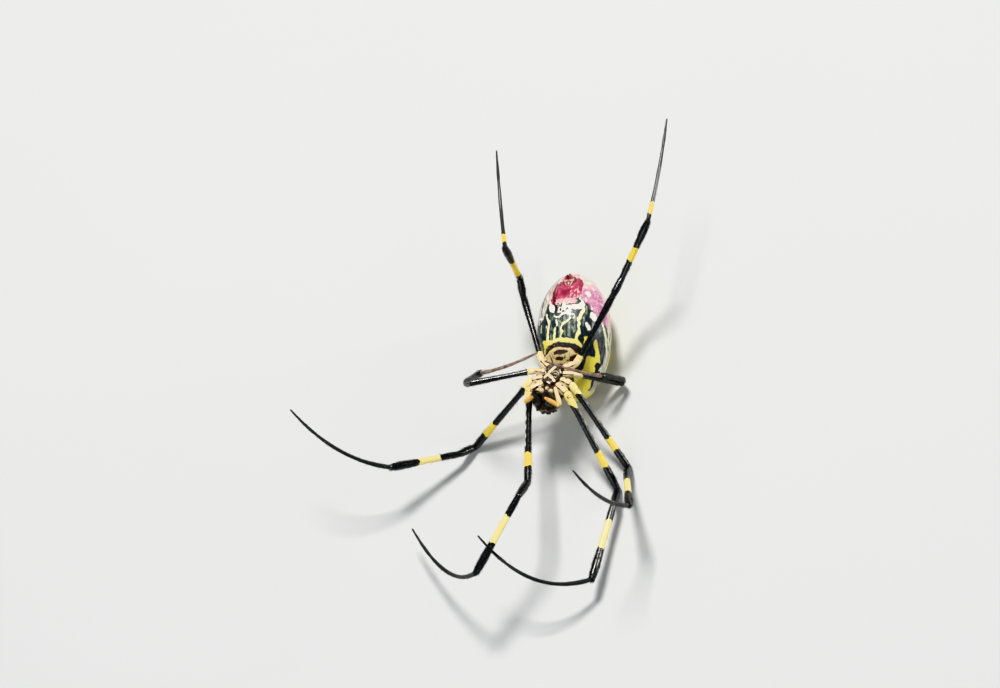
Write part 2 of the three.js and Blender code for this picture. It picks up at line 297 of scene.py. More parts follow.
def tube(line, radii, across, columns, shape=None):
    """Rings round a line of points. across is the way to a ring's first point; shape(turn) varies it."""
    ahead = unit(np.gradient(line, axis=0))
    across = unit(across - (across * ahead).sum(axis=1, keepdims=True) * ahead)
    beside = np.cross(ahead, across)
    turn = turns(columns)
    radii = radii[:, None] * (shape(turn) if shape else np.ones(columns))
    ring = across[:, None] * np.cos(turn)[:, None] + beside[:, None] * np.sin(turn)[:, None]
    return line[:, None] + ring * radii[:, :, None]


def rounded(length, radii, steps, start_round=1.0, end_round=1.0):
    """Stations and radii along a limb's length with a dome at each end. radii is a line over 0 to 1."""
    first, last = float(radii(0.0)), float(radii(1.0))
    dome = np.linspace(0.06, 1, 6)[:-1] * math.pi / 2
    body = np.linspace(0, 1, steps)
    before = -np.cos(dome) * first * start_round
    beyond = length + np.cos(dome[::-1]) * last * end_round
    sizes = np.concatenate([np.sin(dome) * first, radii(body), np.sin(dome[::-1]) * last])
    return np.concatenate([before, body * length, beyond]), sizes


def straight(a, b, radii, steps, *rounds):
    """The middle line, the radii and the shares of the length of a rounded limb from a to b."""
    length = span(a, b)
    stations, sizes = rounded(length, radii, steps, *rounds)
    return a + stations[:, None] * unit(b - a), sizes, stations / length


# Materials

def colour(red, green, blue):
    """A screen colour from 0 to 255 as the linear values that shaders use."""
    screen = np.array((red, green, blue)) / 255
    linear = np.where(screen <= 0.04045, screen / 12.92, ((screen + 0.055) / 1.055) ** 2.4)
    return (*[float(v) for v in linear], 1.0)


class Nodes:
    """A short way to write a material's nodes."""

    def __init__(self, name, **settings):
        self.material = bpy.data.materials.new(name)
        self.material.use_nodes = True
        self.tree = self.material.node_tree
        self.shader = self.tree.nodes["Principled BSDF"]
        for socket, value in settings.items():
            self.shader.inputs[socket.replace("_", " ").title().replace("Ior", "IOR")].default_value = value

    def add(self, kind, output, inputs, **settings):
        """Adds a node and gives back one of its outputs. Its inputs are named or numbered."""
        node = self.tree.nodes.new("ShaderNode" + kind)
        for name, value in settings.items():
            setattr(node, name, value)
        for key, value in inputs.items():
            self.put(node.inputs[key], value)
        return node.outputs[output]

    def put(self, socket, value):
        if hasattr(value, "is_output"):
            self.tree.links.new(value, socket)
        else:
            socket.default_value = value

    def mark(self, name):
        return self.add("Attribute", "Fac", {}, attribute_name=name)

    def noise(self, scale, detail=3.0, rough=0.5, stretch=None):
        """Noise whose lumps are about 1 / scale of a millimetre across."""
        where = self.add("TexCoord", "Object", {})
        if stretch:
            where = self.add("VectorMath", 0, {0: where, 1: stretch}, operation="MULTIPLY")
        inputs = {"Vector": where, "Scale": scale / MM, "Detail": detail, "Roughness": rough}
        return self.add("TexNoise", "Fac", inputs)

    def cells(self, scale):
        where = self.add("TexCoord", "Object", {})
        return self.add("TexVoronoi", "Distance", {"Vector": where, "Scale": scale / MM})

    def math(self, operation, a, b):
        return self.add("Math", 0, {0: a, 1: b}, operation=operation)

    def ramp(self, value, low, high, start=0.0, end=1.0):
        inputs = {"Value": value, "From Min": low, "From Max": high, "To Min": start, "To Max": end}
        return self.add("MapRange", "Result", inputs, interpolation_type="SMOOTHSTEP")

    def patchy(self, scale, detail, rough, low, high, most=1.0):
        """0 to most, in soft random patches."""
        return self.ramp(self.noise(scale, detail, rough), low, high, 0.0, most)

    def mix(self, share, a, b):
        return self.add("Mix", 2, {0: share, 6: a, 7: b}, data_type="RGBA")

    def edge(self, name, fray=0.03, scale=6.0, sharp=0.012):
        """1 inside a mark and 0 outside it. The mark's value is how far inside its edge a point is, in mm."""
        ragged = self.math("MULTIPLY", self.math("SUBTRACT", self.noise(scale, 6, 0.62), 0.5), fray * 2)
        return self.ramp(self.math("ADD", self.mark(name), ragged), -sharp, sharp)

    def lay(self, base, name, top, *edge):
        """The colour top where a mark is, and base elsewhere."""
        return self.mix(self.edge(name, *edge), base, top)

    def finish(self, base, roughness, height=None, distance=0.0, strength=1.0):
        """Sets the colour, the roughness and the bump. The bump's distance is in mm."""
        self.put(self.shader.inputs["Base Color"], base)
        self.put(self.shader.inputs["Roughness"], roughness)
        if height:
            inputs = {"Height": height, "Distance": distance * MM, "Strength": strength}
            self.put(self.shader.inputs["Normal"], self.add("Bump", "Normal", inputs))
        return self.material

    def gloss(self, scale, low, high, detail=3):
        """A roughness that wanders between two values."""
        return self.ramp(self.noise(scale, detail), 0.3, 0.7, low, high)


BLACK = colour(8, 9, 12)
BROWN = colour(48, 26, 14)
BAND_YELLOW = colour(240, 212, 62)
BAND_CREAM = colour(250, 238, 168)
COXA_CREAM = colour(238, 218, 174)


def limb_material():
    """Hard black skin with yellow bands, cream hips, dark seams, and a pale femur line that is partly a real
    stripe and partly a painted highlight.
    """
    n = Nodes("limb_skin", coat_weight=0.4, coat_roughness=0.1, specular_ior_level=0.55)
    mottle = n.noise(2.2, 4)
    black = n.mix(n.ramp(mottle, 0.45, 0.75), BLACK, colour(20, 20, 22))
    yellow = n.mix(n.mark("pale"), BAND_YELLOW, BAND_CREAM)
    yellow = n.mix(n.patchy(1.3, 4, 0.5, 0.45, 0.8, 0.25), yellow, colour(216, 180, 84))
    cream = n.mix(n.patchy(3.0, 3, 0.5, 0.4, 0.7, 0.5), COXA_CREAM, colour(206, 176, 118))
    amber = n.mix(n.patchy(2.0, 4, 0.5, 0.35, 0.7), colour(214, 156, 66), colour(230, 188, 104))
    ashen = n.mix(n.ramp(mottle, 0.4, 0.6), colour(96, 74, 62), colour(140, 118, 104))
    base = n.lay(black, "band", yellow, 0.05, 4.0)
    base = n.lay(base, "cream", cream, 0.04, 5.0)
    base = n.lay(base, "amber", amber, 0.04, 4.0)
    base = n.lay(base, "ashen", ashen, 0.04, 4.0)
    # The pale line on the femora: partly a real pale stripe and partly a painted highlight along the edge
    # turned to the light.
    base = n.lay(base, "line", colour(246, 240, 212), 0.02, 5.0)
    base = n.lay(base, "seam", BROWN, 0.02, 7.0)
    height = n.math("ADD", n.noise(9.0, 4, 0.6), n.math("MULTIPLY", n.cells(7.0), 0.7))
    rough = n.math("ADD", n.gloss(6.0, 0.2, 0.36), n.math("MULTIPLY", n.mark("dull"), 0.3))
    return n.finish(base, rough, height, 0.02, 0.6)


def abdomen_material():
    """Soft patterned skin: slate, silver, pink and crimson grounds under cream, white and brown marks."""
    n = Nodes("abdomen_skin", coat_weight=0.3, coat_roughness=0.22, specular_ior_level=0.5)
    grains = n.cells(7.5)
    grain = n.ramp(grains, 0.25, 0.75)
    lumps = n.patchy(3.0, 6, 0.65, 0.36, 0.66)
    slate = n.mix(lumps, colour(9, 15, 21), colour(40, 54, 62))
    slate = n.mix(n.mark("greyed"), slate, n.mix(lumps, colour(96, 112, 98), colour(170, 182, 158)))
    slate = n.mix(n.ramp(grains, 0.16, 0.02, 0.0, 0.35), slate, colour(120, 136, 140))
    silver = n.mix(grain, colour(224, 222, 208), colour(168, 162, 154))
    silver = n.mix(n.patchy(1.6, 5, 0.6, 0.52, 0.7, 0.6), silver, colour(192, 146, 152))
    silver = n.mix(n.mark("dusky"), silver, n.mix(lumps, colour(104, 62, 60), colour(186, 146, 146)))
    pink = n.mix(n.patchy(2.6, 6, 0.65, 0.36, 0.62), colour(154, 68, 116), colour(202, 146, 172))
    pink = n.mix(n.mark("pale_pink"), pink, colour(230, 184, 192))
    flecks = n.ramp(n.noise(4.5, 5, 0.6, (1, 0.5, 1)), 0.56, 0.66, 0, 0.7)
    pink = n.mix(flecks, pink, colour(240, 220, 224))
    red = n.mix(n.patchy(2.4, 6, 0.65, 0.34, 0.66), colour(146, 28, 60), colour(188, 84, 112))
    red = n.mix(n.math("MULTIPLY", n.mark("deep_red"), 0.8), red, colour(116, 14, 46))
    red = n.mix(n.patchy(5.0, 5, 0.6, 0.62, 0.72, 0.6), red, colour(226, 160, 168))
    rose = n.mix(grain, colour(240, 214, 208), colour(206, 138, 148))
    rose = n.mix(n.patchy(2.6, 6, 0.7, 0.54, 0.62, 0.85), rose, colour(132, 52, 62))
    tan = n.mix(grain, colour(238, 220, 170), colour(212, 188, 134))
    tan = n.mix(n.patchy(2.2, 5, 0.65, 0.5, 0.7, 0.6), tan, colour(166, 132, 84))
    cream = n.mix(n.mark("golden"), colour(234, 236, 198), colour(242, 226, 96))
    cream = n.mix(n.math("MULTIPLY", grain, 0.3), cream, colour(204, 190, 96))
    cream = n.mix(n.patchy(3.2, 6, 0.65, 0.58, 0.78, 0.5), cream, colour(134, 130, 66))
    base = n.lay(slate, "silver", silver, 0.3, 2.6, 0.05)
    base = n.lay(base, "pink", pink, 0.5, 2.2, 0.16)
    base = n.lay(base, "red", red, 0.24, 2.8, 0.08)
    base = n.lay(base, "rose", rose, 0.2, 4.0, 0.06)
    base = n.lay(base, "maroon", colour(70, 18, 26), 0.14, 3.4, 0.07)
    base = n.lay(base, "vein", n.mix(lumps, colour(26, 34, 40), colour(78, 84, 86)), 0.06, 3.0, 0.03)
    base = n.lay(base, "plate", tan, 0.1, 3.4, 0.04)
    base = n.lay(base, "cream", cream, 0.13, 4.0, 0.03)
    base = n.lay(base, "white", n.mix(grain, colour(252, 248, 240), colour(214, 206, 196)), 0.13, 4.0, 0.03)
    base = n.lay(base, "brown", n.mix(lumps, colour(22, 10, 8), colour(56, 30, 20)), 0.06, 4.0, 0.025)
    height = n.math("SUBTRACT", n.noise(5.0, 6, 0.65), n.math("MULTIPLY", grains, 0.35))
    return n.finish(base, n.gloss(4.0, 0.3, 0.46), height, 0.035, 0.6)


def shell_material(name, ground, second, mark=None, mark_colour=None, rough=0.3):
    n = Nodes(name, coat_weight=0.25, coat_roughness=0.2)
    base = n.mix(n.patchy(1.8, 5, 0.5, 0.35, 0.7), colour(*ground), colour(*second))
    if mark:
        base = n.lay(base, mark, colour(*mark_colour), 0.05, 4.0, 0.02)
    height = n.math("ADD", n.noise(7.0, 5, 0.6), n.math("MULTIPLY", n.cells(5.5), 0.8))
    return n.finish(base, n.gloss(5.0, rough - 0.08, rough + 0.1), height, 0.03, 0.7)


def hair_material(name, root, tip, rough=0.4):
    n = Nodes(name, sheen_weight=0.3, sheen_roughness=0.4)
    base = n.mix(n.patchy(4.0, 2, 0.5, 0.3, 0.7), colour(*root), colour(*tip))
    return n.finish(base, n.gloss(6.0, rough - 0.06, rough + 0.06, 2))


def eye_material():
    n = Nodes("eye_gloss", coat_weight=1.0, coat_roughness=0.02, ior=1.5)
    base = n.mix(n.patchy(3.0, 2, 0.5, 0.4, 0.8), colour(6, 5, 5), colour(26, 14, 8))
    return n.finish(base, n.gloss(4.0, 0.03, 0.08, 2))


limb_skin = limb_material()
abdomen_skin = abdomen_material()
head_shell = shell_material("head_shell", (44, 34, 28), (78, 62, 48), "pale_shell", (112, 96, 76))
plate_shell = shell_material("plate_shell", (34, 22, 16), (58, 40, 28), "pale_plate", (232, 214, 176))
jaw_shell = shell_material("jaw_shell", (10, 7, 6), (30, 18, 12), rough=0.22)
fang_shell = shell_material("fang_shell", (16, 7, 6), (44, 16, 10), rough=0.16)
mouth_shell = shell_material("mouth_shell", (42, 28, 20), (70, 48, 34), "pale_plate", (222, 200, 156))
spinneret_skin = shell_material("spinneret_skin", (92, 26, 32), (160, 66, 76), "pale_plate", (226, 178, 164),
                                rough=0.45)
silver_hair = hair_material("silver_hair", (168, 160, 146), (226, 220, 206))
dark_hair = hair_material("dark_hair", (20, 16, 13), (52, 38, 26), 0.3)


# Markings of the abdomen. A place on it is (station, turn): mm back from its front end, and degrees round it
# from the middle of the belly, positive on the right. One degree is about this many mm of skin.
DEGREE = 0.075


def plane(station, turn):
    return np.asarray(turn, float) * DEGREE, np.asarray(station, float)


def nearest(x, y, a, b):
    """How far points are from the line between two places, and how far along it they are nearest."""
    dx, dy = b[0] - a[0], b[1] - a[1]
    t = np.clip(((x - a[0]) * dx + (y - a[1]) * dy) / max(dx * dx + dy * dy, 1e-9), 0, 1)
    return np.hypot(x - a[0] - t * dx, y - a[1] - t * dy), t


def eased(places, cuts=2, closed=False):
    """The places with their corners cut, so that a line or an outline bends softly."""
    places = np.array(places, float)
    for _ in range(cuts):
        after = np.roll(places, -1, axis=0)
        cut = np.stack([0.75 * places + 0.25 * after, 0.25 * places + 0.75 * after], axis=1)
        cut = cut.reshape(-1, places.shape[1])
        places = cut if closed else np.concatenate([places[:1], cut[:-2], places[-1:]])
    return places


def strokes(x, y, rows):
    """How far inside some brush strokes a point is. Each place of a stroke is (station, turn, width)."""
    best = -1e3
    for row in rows:
        places = eased(row)
        line = np.stack(plane(places[:, 0], places[:, 1]), axis=1)
        half = places[:, 2] / 2
        for i in range(len(line) - 1):
            distance, t = nearest(x, y, line[i], line[i + 1])
            best = np.maximum(best, half[i] * (1 - t) + half[i + 1] * t - distance)
    return best


def blots(x, y, rows):
    """How far inside ovals a point is. A row is station, turn, length along the body, width and lean."""
    fields = []
    for station, turn, length, width, lean in rows:
        cx, cy = plane(station, turn)
        a = math.radians(lean)
        across = (x - cx) * math.cos(a) + (y - cy) * math.sin(a)
        along = (y - cy) * math.cos(a) - (x - cx) * math.sin(a)
        reach = np.hypot(across / (width / 2), along / (length / 2))
        fields.append((1 - reach) * min(length, width) / 2)
    return fields


def inside(x, y, *outlines):
    """How far inside the nearest of some outlines a point is, negative outside."""
    fields = []
    for outline in outlines:
        places = eased(outline, 1, closed=True)
        corner = np.stack(plane(places[:, 0], places[:, 1]), axis=1)
        odd = np.zeros(np.broadcast(x, y).shape, bool)
        distance = np.full(odd.shape, 1e3)
        for a, b in zip(corner, np.roll(corner, -1, axis=0)):
            where = (b[0] - a[0]) * (y - a[1]) / (b[1] - a[1] or 1e-9) + a[0]
            odd ^= ((a[1] > y) != (b[1] > y)) & (x < where)
            distance = np.minimum(distance, nearest(x, y, a, b)[0])
        fields.append(np.where(odd, distance, -distance))
    return union(*fields)


def mirrored(places, middle=-5):
    """Places moved to the other side of the pattern's own midline."""
    return tuple((place[0], 2 * middle - place[1], *place[2:]) for place in places)


RIGHT_LINE = ((9.0, 28, 0.3), (8.6, 26, 0.42), (8.1, 22.5, 0.4), (7.6, 18.5, 0.36), (7.1, 20, 0.3),
              (6.6, 19, 0.32), (6.2, 21, 0.46), (5.85, 18, 0.4), (5.35, 15, 0.4))
LEFT_LINE = ((8.7, -35.5, 0.2), (8.1, -32.5, 0.32), (7.6, -27.5, 0.36), (7.2, -30.5, 0.26),
             (6.6, -31.5, 0.28), (6.1, -33, 0.4), (5.6, -37, 0.44))
MIDDLE_LINE = ((7.75, 8, 0.16), (7.4, 1, 0.26), (7.15, -4.5, 0.24), (6.8, -7, 0.2), (6.5, -9, 0.26),
               (6.3, -6.5, 0.22), (5.95, -8.5, 0.2), (5.6, -10.5, 0.18))
SHORT_LINE = ((6.85, -17.5, 0.2), (6.4, -19, 0.34), (6.0, -20, 0.36), (5.5, -22, 0.26))
FRONT_ARC = ((4.6, -52, 0.24), (5.0, -47, 0.44), (5.4, -39, 0.56), (5.38, -28, 0.42), (5.42, -18, 0.42),
             (5.38, -8, 0.42), (5.3, 2, 0.4), (5.2, 12, 0.5), (5.1, 20, 0.5), (4.7, 25, 0.3))
FLANK_LINES = (
    ((8.2, 58, 0.1), (7.4, 65, 0.26), (6.8, 69, 0.4), (6.1, 74, 0.42), (5.3, 79, 0.4), (4.6, 84, 0.3),
     (3.8, 90, 0.3)),
    ((7.4, 80, 0.2), (6.4, 84, 0.3), (5.6, 90, 0.2), (4.8, 94, 0.25)),
    ((3.1, 78, 0.1), (2.4, 82, 0.16), (1.7, 88, 0.16), (1.0, 94, 0.16)),
)
CREAM_STROKES = (
    RIGHT_LINE, LEFT_LINE, MIDDLE_LINE, SHORT_LINE, FRONT_ARC, *FLANK_LINES, *map(mirrored, FLANK_LINES),
    ((7.65, -48.5, 0.2), (7.35, -49, 0.34), (7.0, -50, 0.2)),
    ((3.6, 74, 0.12), (3.2, 76, 0.14), (2.8, 75, 0.1)),
)
GOLDEN_PATCHES = (
    ((5.72, 27), (5.88, 38.5), (5.4, 37.5), (4.8, 31.5), (4.84, 28), (5.35, 29.5)),
    ((5.8, 49), (5.5, 54), (5.0, 56), (4.6, 60), (4.2, 65), (3.75, 70), (3.5, 73), (3.6, 65), (3.45, 59),
     (3.9, 55.5), (4.25, 54.5), (4.7, 51), (5.1, 46.5), (5.4, 46)),
    ((4.0, 39.5), (3.9, 50), (3.9, 57), (3.6, 61), (3.3, 62.5), (2.9, 65), (2.55, 67), (1.9, 67), (1.5, 71),
     (1.05, 77), (0.7, 72), (0.3, 50), (0.3, 0), (1.6, -4), (2.3, 8), (2.4, 30), (2.7, 36.5), (3.35, 37.5)),
)
PALE_STREAKS = (
    ((7.0, 5.5, 0.1), (6.6, 4.5, 0.22), (6.2, 4, 0.22), (5.8, 3.5, 0.1)),
    ((6.7, 12, 0.08), (6.4, 12.5, 0.14), (6.0, 11, 0.08)),
    ((7.7, -12, 0.1), (7.5, -8, 0.3), (7.2, -9, 0.14), (6.9, -12, 0.08)),
    ((9.4, 33, 0.1), (8.9, 32, 0.16), (8.4, 33, 0.08)),
    ((8.2, 30, 0.06), (7.5, 28, 0.1), (6.9, 27, 0.06)),
    ((6.3, -26, 0.06), (5.9, -27, 0.14), (5.6, -28, 0.08)),
)
WHITE_PATCHES = (
    ((10.6, -30), (10.1, -27.5), (9.6, -22), (9.45, -18.5), (8.7, -18.5), (8.72, -23), (8.85, -29),
     (9.6, -31.5)),
    ((10.2, -4.5), (9.6, -1.4), (9.5, 0.5), (8.75, 0.2), (8.8, -5.4), (9.3, -7), (9.55, -6)),
    ((9.55, 8), (9.4, 14), (9.55, 20), (10.25, 25.5), (9.8, 29.5), (9.1, 29), (8.9, 21), (8.85, 9)),
    ((8.9, 39), (8.75, 46), (8.35, 50), (7.75, 57), (7.7, 50), (7.78, 42), (8.1, 37.5)),
    ((7.4, 31), (7.4, 36), (6.6, 40.5), (6.5, 34.5), (6.9, 30.5)),
    ((11.5, 31), (11.6, 38), (11.05, 43.5), (10.6, 40), (10.95, 32)),
    ((13.2, 42), (13.25, 50), (12.9, 52), (12.7, 45), (12.8, 40)),
    ((12.3, 32), (12.4, 36), (12.0, 38), (11.85, 33)),
    ((10.5, 31), (10.55, 34), (10.1, 35), (10.0, 31.5)),
)
WHITE_STROKES = (
    ((8.7, -13, 0.16), (8.45, -5.5, 0.26), (8.35, 2, 0.22), (8.25, 11, 0.16)),
    ((8.25, -20.5, 0.12), (7.98, -13, 0.22), (8.1, -7.5, 0.18), (8.4, -4.5, 0.12)),
    ((7.7, -16.5, 0.24), (7.15, -14.5, 0.28)),
    ((9.4, -13.5, 0.14), (9.0, -13.4, 0.14), (8.68, -9, 0.12)),
    ((9.3, 4, 0.14), (9.1, 6, 0.2), (8.75, 5, 0.12)),
    ((10.35, 63, 0.14), (10.2, 67, 0.2), (10.1, 71, 0.12)),
    ((9.45, 41, 0.2), (9.2, 42, 0.22)),
    ((12.4, 46, 0.1), (12.1, 51, 0.18), (11.9, 54, 0.08)),
    ((12.5, 62, 0.1), (12.2, 67, 0.14), (12.1, 70, 0.08)),
    ((11.4, 57, 0.08), (11.1, 61, 0.14), (10.9, 63, 0.08)),
    ((9.4, 50, 0.06), (9.1, 54, 0.12), (8.9, 56, 0.06)),
    ((8.75, -59, 0.2), (8.55, -52, 0.4), (8.35, -44, 0.2)),
    ((11.6, -46, 0.16), (11.0, -39, 0.34), (10.6, -37, 0.16)),
    ((9.9, -50, 0.1), (9.5, -46, 0.24), (9.2, -45, 0.1)),
    ((7.9, 27, 0.05), (7.5, 27.5, 0.1), (7.2, 27, 0.05)), ((8.3, 14, 0.05), (8.0, 13, 0.1), (7.7, 12, 0.05)),
    ((9.9, -14, 0.05), (9.75, -12, 0.1)), ((9.75, 4, 0.1), (9.9, 6, 0.08)),
)
BROWN_STROKES = (
    ((4.75, -50, 0.06), (4.95, -42, 0.12), (5.1, -32, 0.13), (5.1, -18, 0.12), (5.05, -4, 0.13),
     (4.92, 8, 0.12), (4.7, 20, 0.1), (4.45, 27, 0.06)),
    ((4.4, -52, 0.1), (4.56, -45, 0.22), (4.78, -36, 0.2), (4.86, -26, 0.16), (4.88, -14, 0.22),
     (4.76, -4, 0.28), (4.6, 6, 0.26), (4.32, 18, 0.28), (4.1, 27, 0.16)),
    ((3.1, -38, 0.1), (3.08, -24, 0.16), (3.05, -8, 0.16), (3.1, 8, 0.18), (3.3, 22, 0.1)),
    ((2.75, -34, 0.06), (2.72, -15, 0.12), (2.7, 5, 0.1), (2.8, 20, 0.05)),
    ((4.25, 11, 0.06), (4.15, 15, 0.1), (4.1, 20, 0.08)),
    ((4.6, -24, 0.1), (4.45, -22, 0.05)),
    ((4.5, -44, 0.08), (4.0, -41, 0.2), (3.5, -44, 0.24), (3.1, -50, 0.1)),
    ((4.1, -50, 0.06), (3.7, -53, 0.2), (3.3, -56, 0.1)),
    ((4.4, -34, 0.06), (4.1, -34, 0.1), (3.8, -37, 0.06)),
    ((4.05, -8, 0.06), (3.8, -7, 0.14), (3.6, -11, 0.08)),
    ((4.3, 4, 0.05), (4.0, 3, 0.08), (3.75, 1, 0.05)),
    ((3.95, 17, 0.1), (4.1, 24, 0.3), (3.9, 31, 0.34), (3.4, 33, 0.2)),
    ((10.1, 8, 0.05), (9.75, 9, 0.12), (9.6, 4, 0.1)),
    ((9.9, -22, 0.05), (9.3, -18, 0.14), (8.9, -18, 0.06)),
    ((14.0, -12, 0.05), (13.5, -14, 0.16), (13.2, -12, 0.06)),
    ((14.1, 2, 0.05), (13.6, 0, 0.12), (13.3, -1, 0.05)),
)
MAROON_STROKES = (
    ((12.9, -28, 0.2), (11.9, -26.5, 0.3), (11.0, -25, 0.34), (10.3, -22, 0.4), (9.65, -20, 0.22)),
    ((12.2, -21, 0.06), (11.4, -18.5, 0.14), (10.6, -19, 0.16), (10.0, -18, 0.06)),
)
BROWN_BLOTS = (
    (4.24, -15.5, 0.48, 2.3, 0), (3.7, -22, 0.34, 1.6, -3), (3.62, 10, 0.62, 1.5, 14),
    (3.42, -4, 0.12, 0.6, 0), (8.95, -9.3, 0.32, 0.34, 0), (8.92, 1.4, 0.26, 0.24, 0),
    (9.55, -8, 0.14, 0.5, 30), (9.75, -14, 0.2, 0.3, 0), (3.28, 66, 0.5, 0.8, 15),
    (3.28, -76, 0.5, 0.8, -15), (9.35, -1, 0.3, 0.1, 0), (1.55, 74, 0.16, 0.3, 0), (9.3, -17, 0.3, 0.2, 0),
)
PLATE_OUTLINE = ((4.78, -20), (4.74, -5), (4.5, 8), (4.2, 20), (3.9, 29), (3.3, 27), (2.85, 8), (2.8, -20),
                 (2.9, -48), (3.6, -62), (4.3, -56), (4.66, -38))
RED_OUTLINE = ((13.1, -24), (13.1, -8), (13.15, 4), (13.6, 14), (13.7, 24), (13.1, 31), (12.2, 29),
               (11.6, 26), (11.0, 24.5), (10.35, 18), (9.95, 10), (9.7, 1), (9.95, -8), (9.65, -17),
               (9.9, -20), (9.9, -27), (11.0, -29), (12.0, -29))
DEEP_RED = ((13.3, 24, 0.8, 0.7, 0), (12.3, 25, 1.2, 0.4, 0), (11.2, -3, 1.0, 1.3, 0),
            (10.6, 12, 0.5, 0.8, 0), (12.6, -18, 0.7, 0.7, 0))
PINK_OUTLINE = ((10.4, 24), (11.2, 25), (12.2, 32), (12.9, 44), (13.2, 60), (12.8, 80), (11.4, 98),
                (9.2, 96), (7.8, 84), (7.6, 74), (8.0, 62), (7.9, 57), (8.4, 51), (9.0, 42), (9.6, 38),
                (10.0, 30))
ROSE_RIM = ((13.1, -22), (13.05, -8), (13.0, 6), (13.5, 16), (14.2, 30), (14.8, 40), (14.9, -40),
            (13.8, -30))
SILVER_LEFT = ((15.4, -12), (13.3, -23), (12.0, -23), (10.9, -25), (10.3, -31), (9.6, -37), (8.2, -42),
               (7.9, -58), (8.6, -74), (10.6, -96), (15.4, -96))
SILVER_RIGHT = ((15.4, 8), (13.6, 20), (12.6, 22), (11.4, 19), (10.3, 18), (10.1, 26), (9.9, 33), (10.6, 40),
                (11.4, 50), (12.2, 70), (12.2, 100), (15.4, 96))
RING_PLACES = ((8.95, -9.3), (8.92, 1.4))  # two small pale rings
BACK_BARS = ((12.5, 0.5), (10.3, 0.7), (7.9, 0.85), (5.4, 0.85), (3.1, 0.7))  # stations and widths


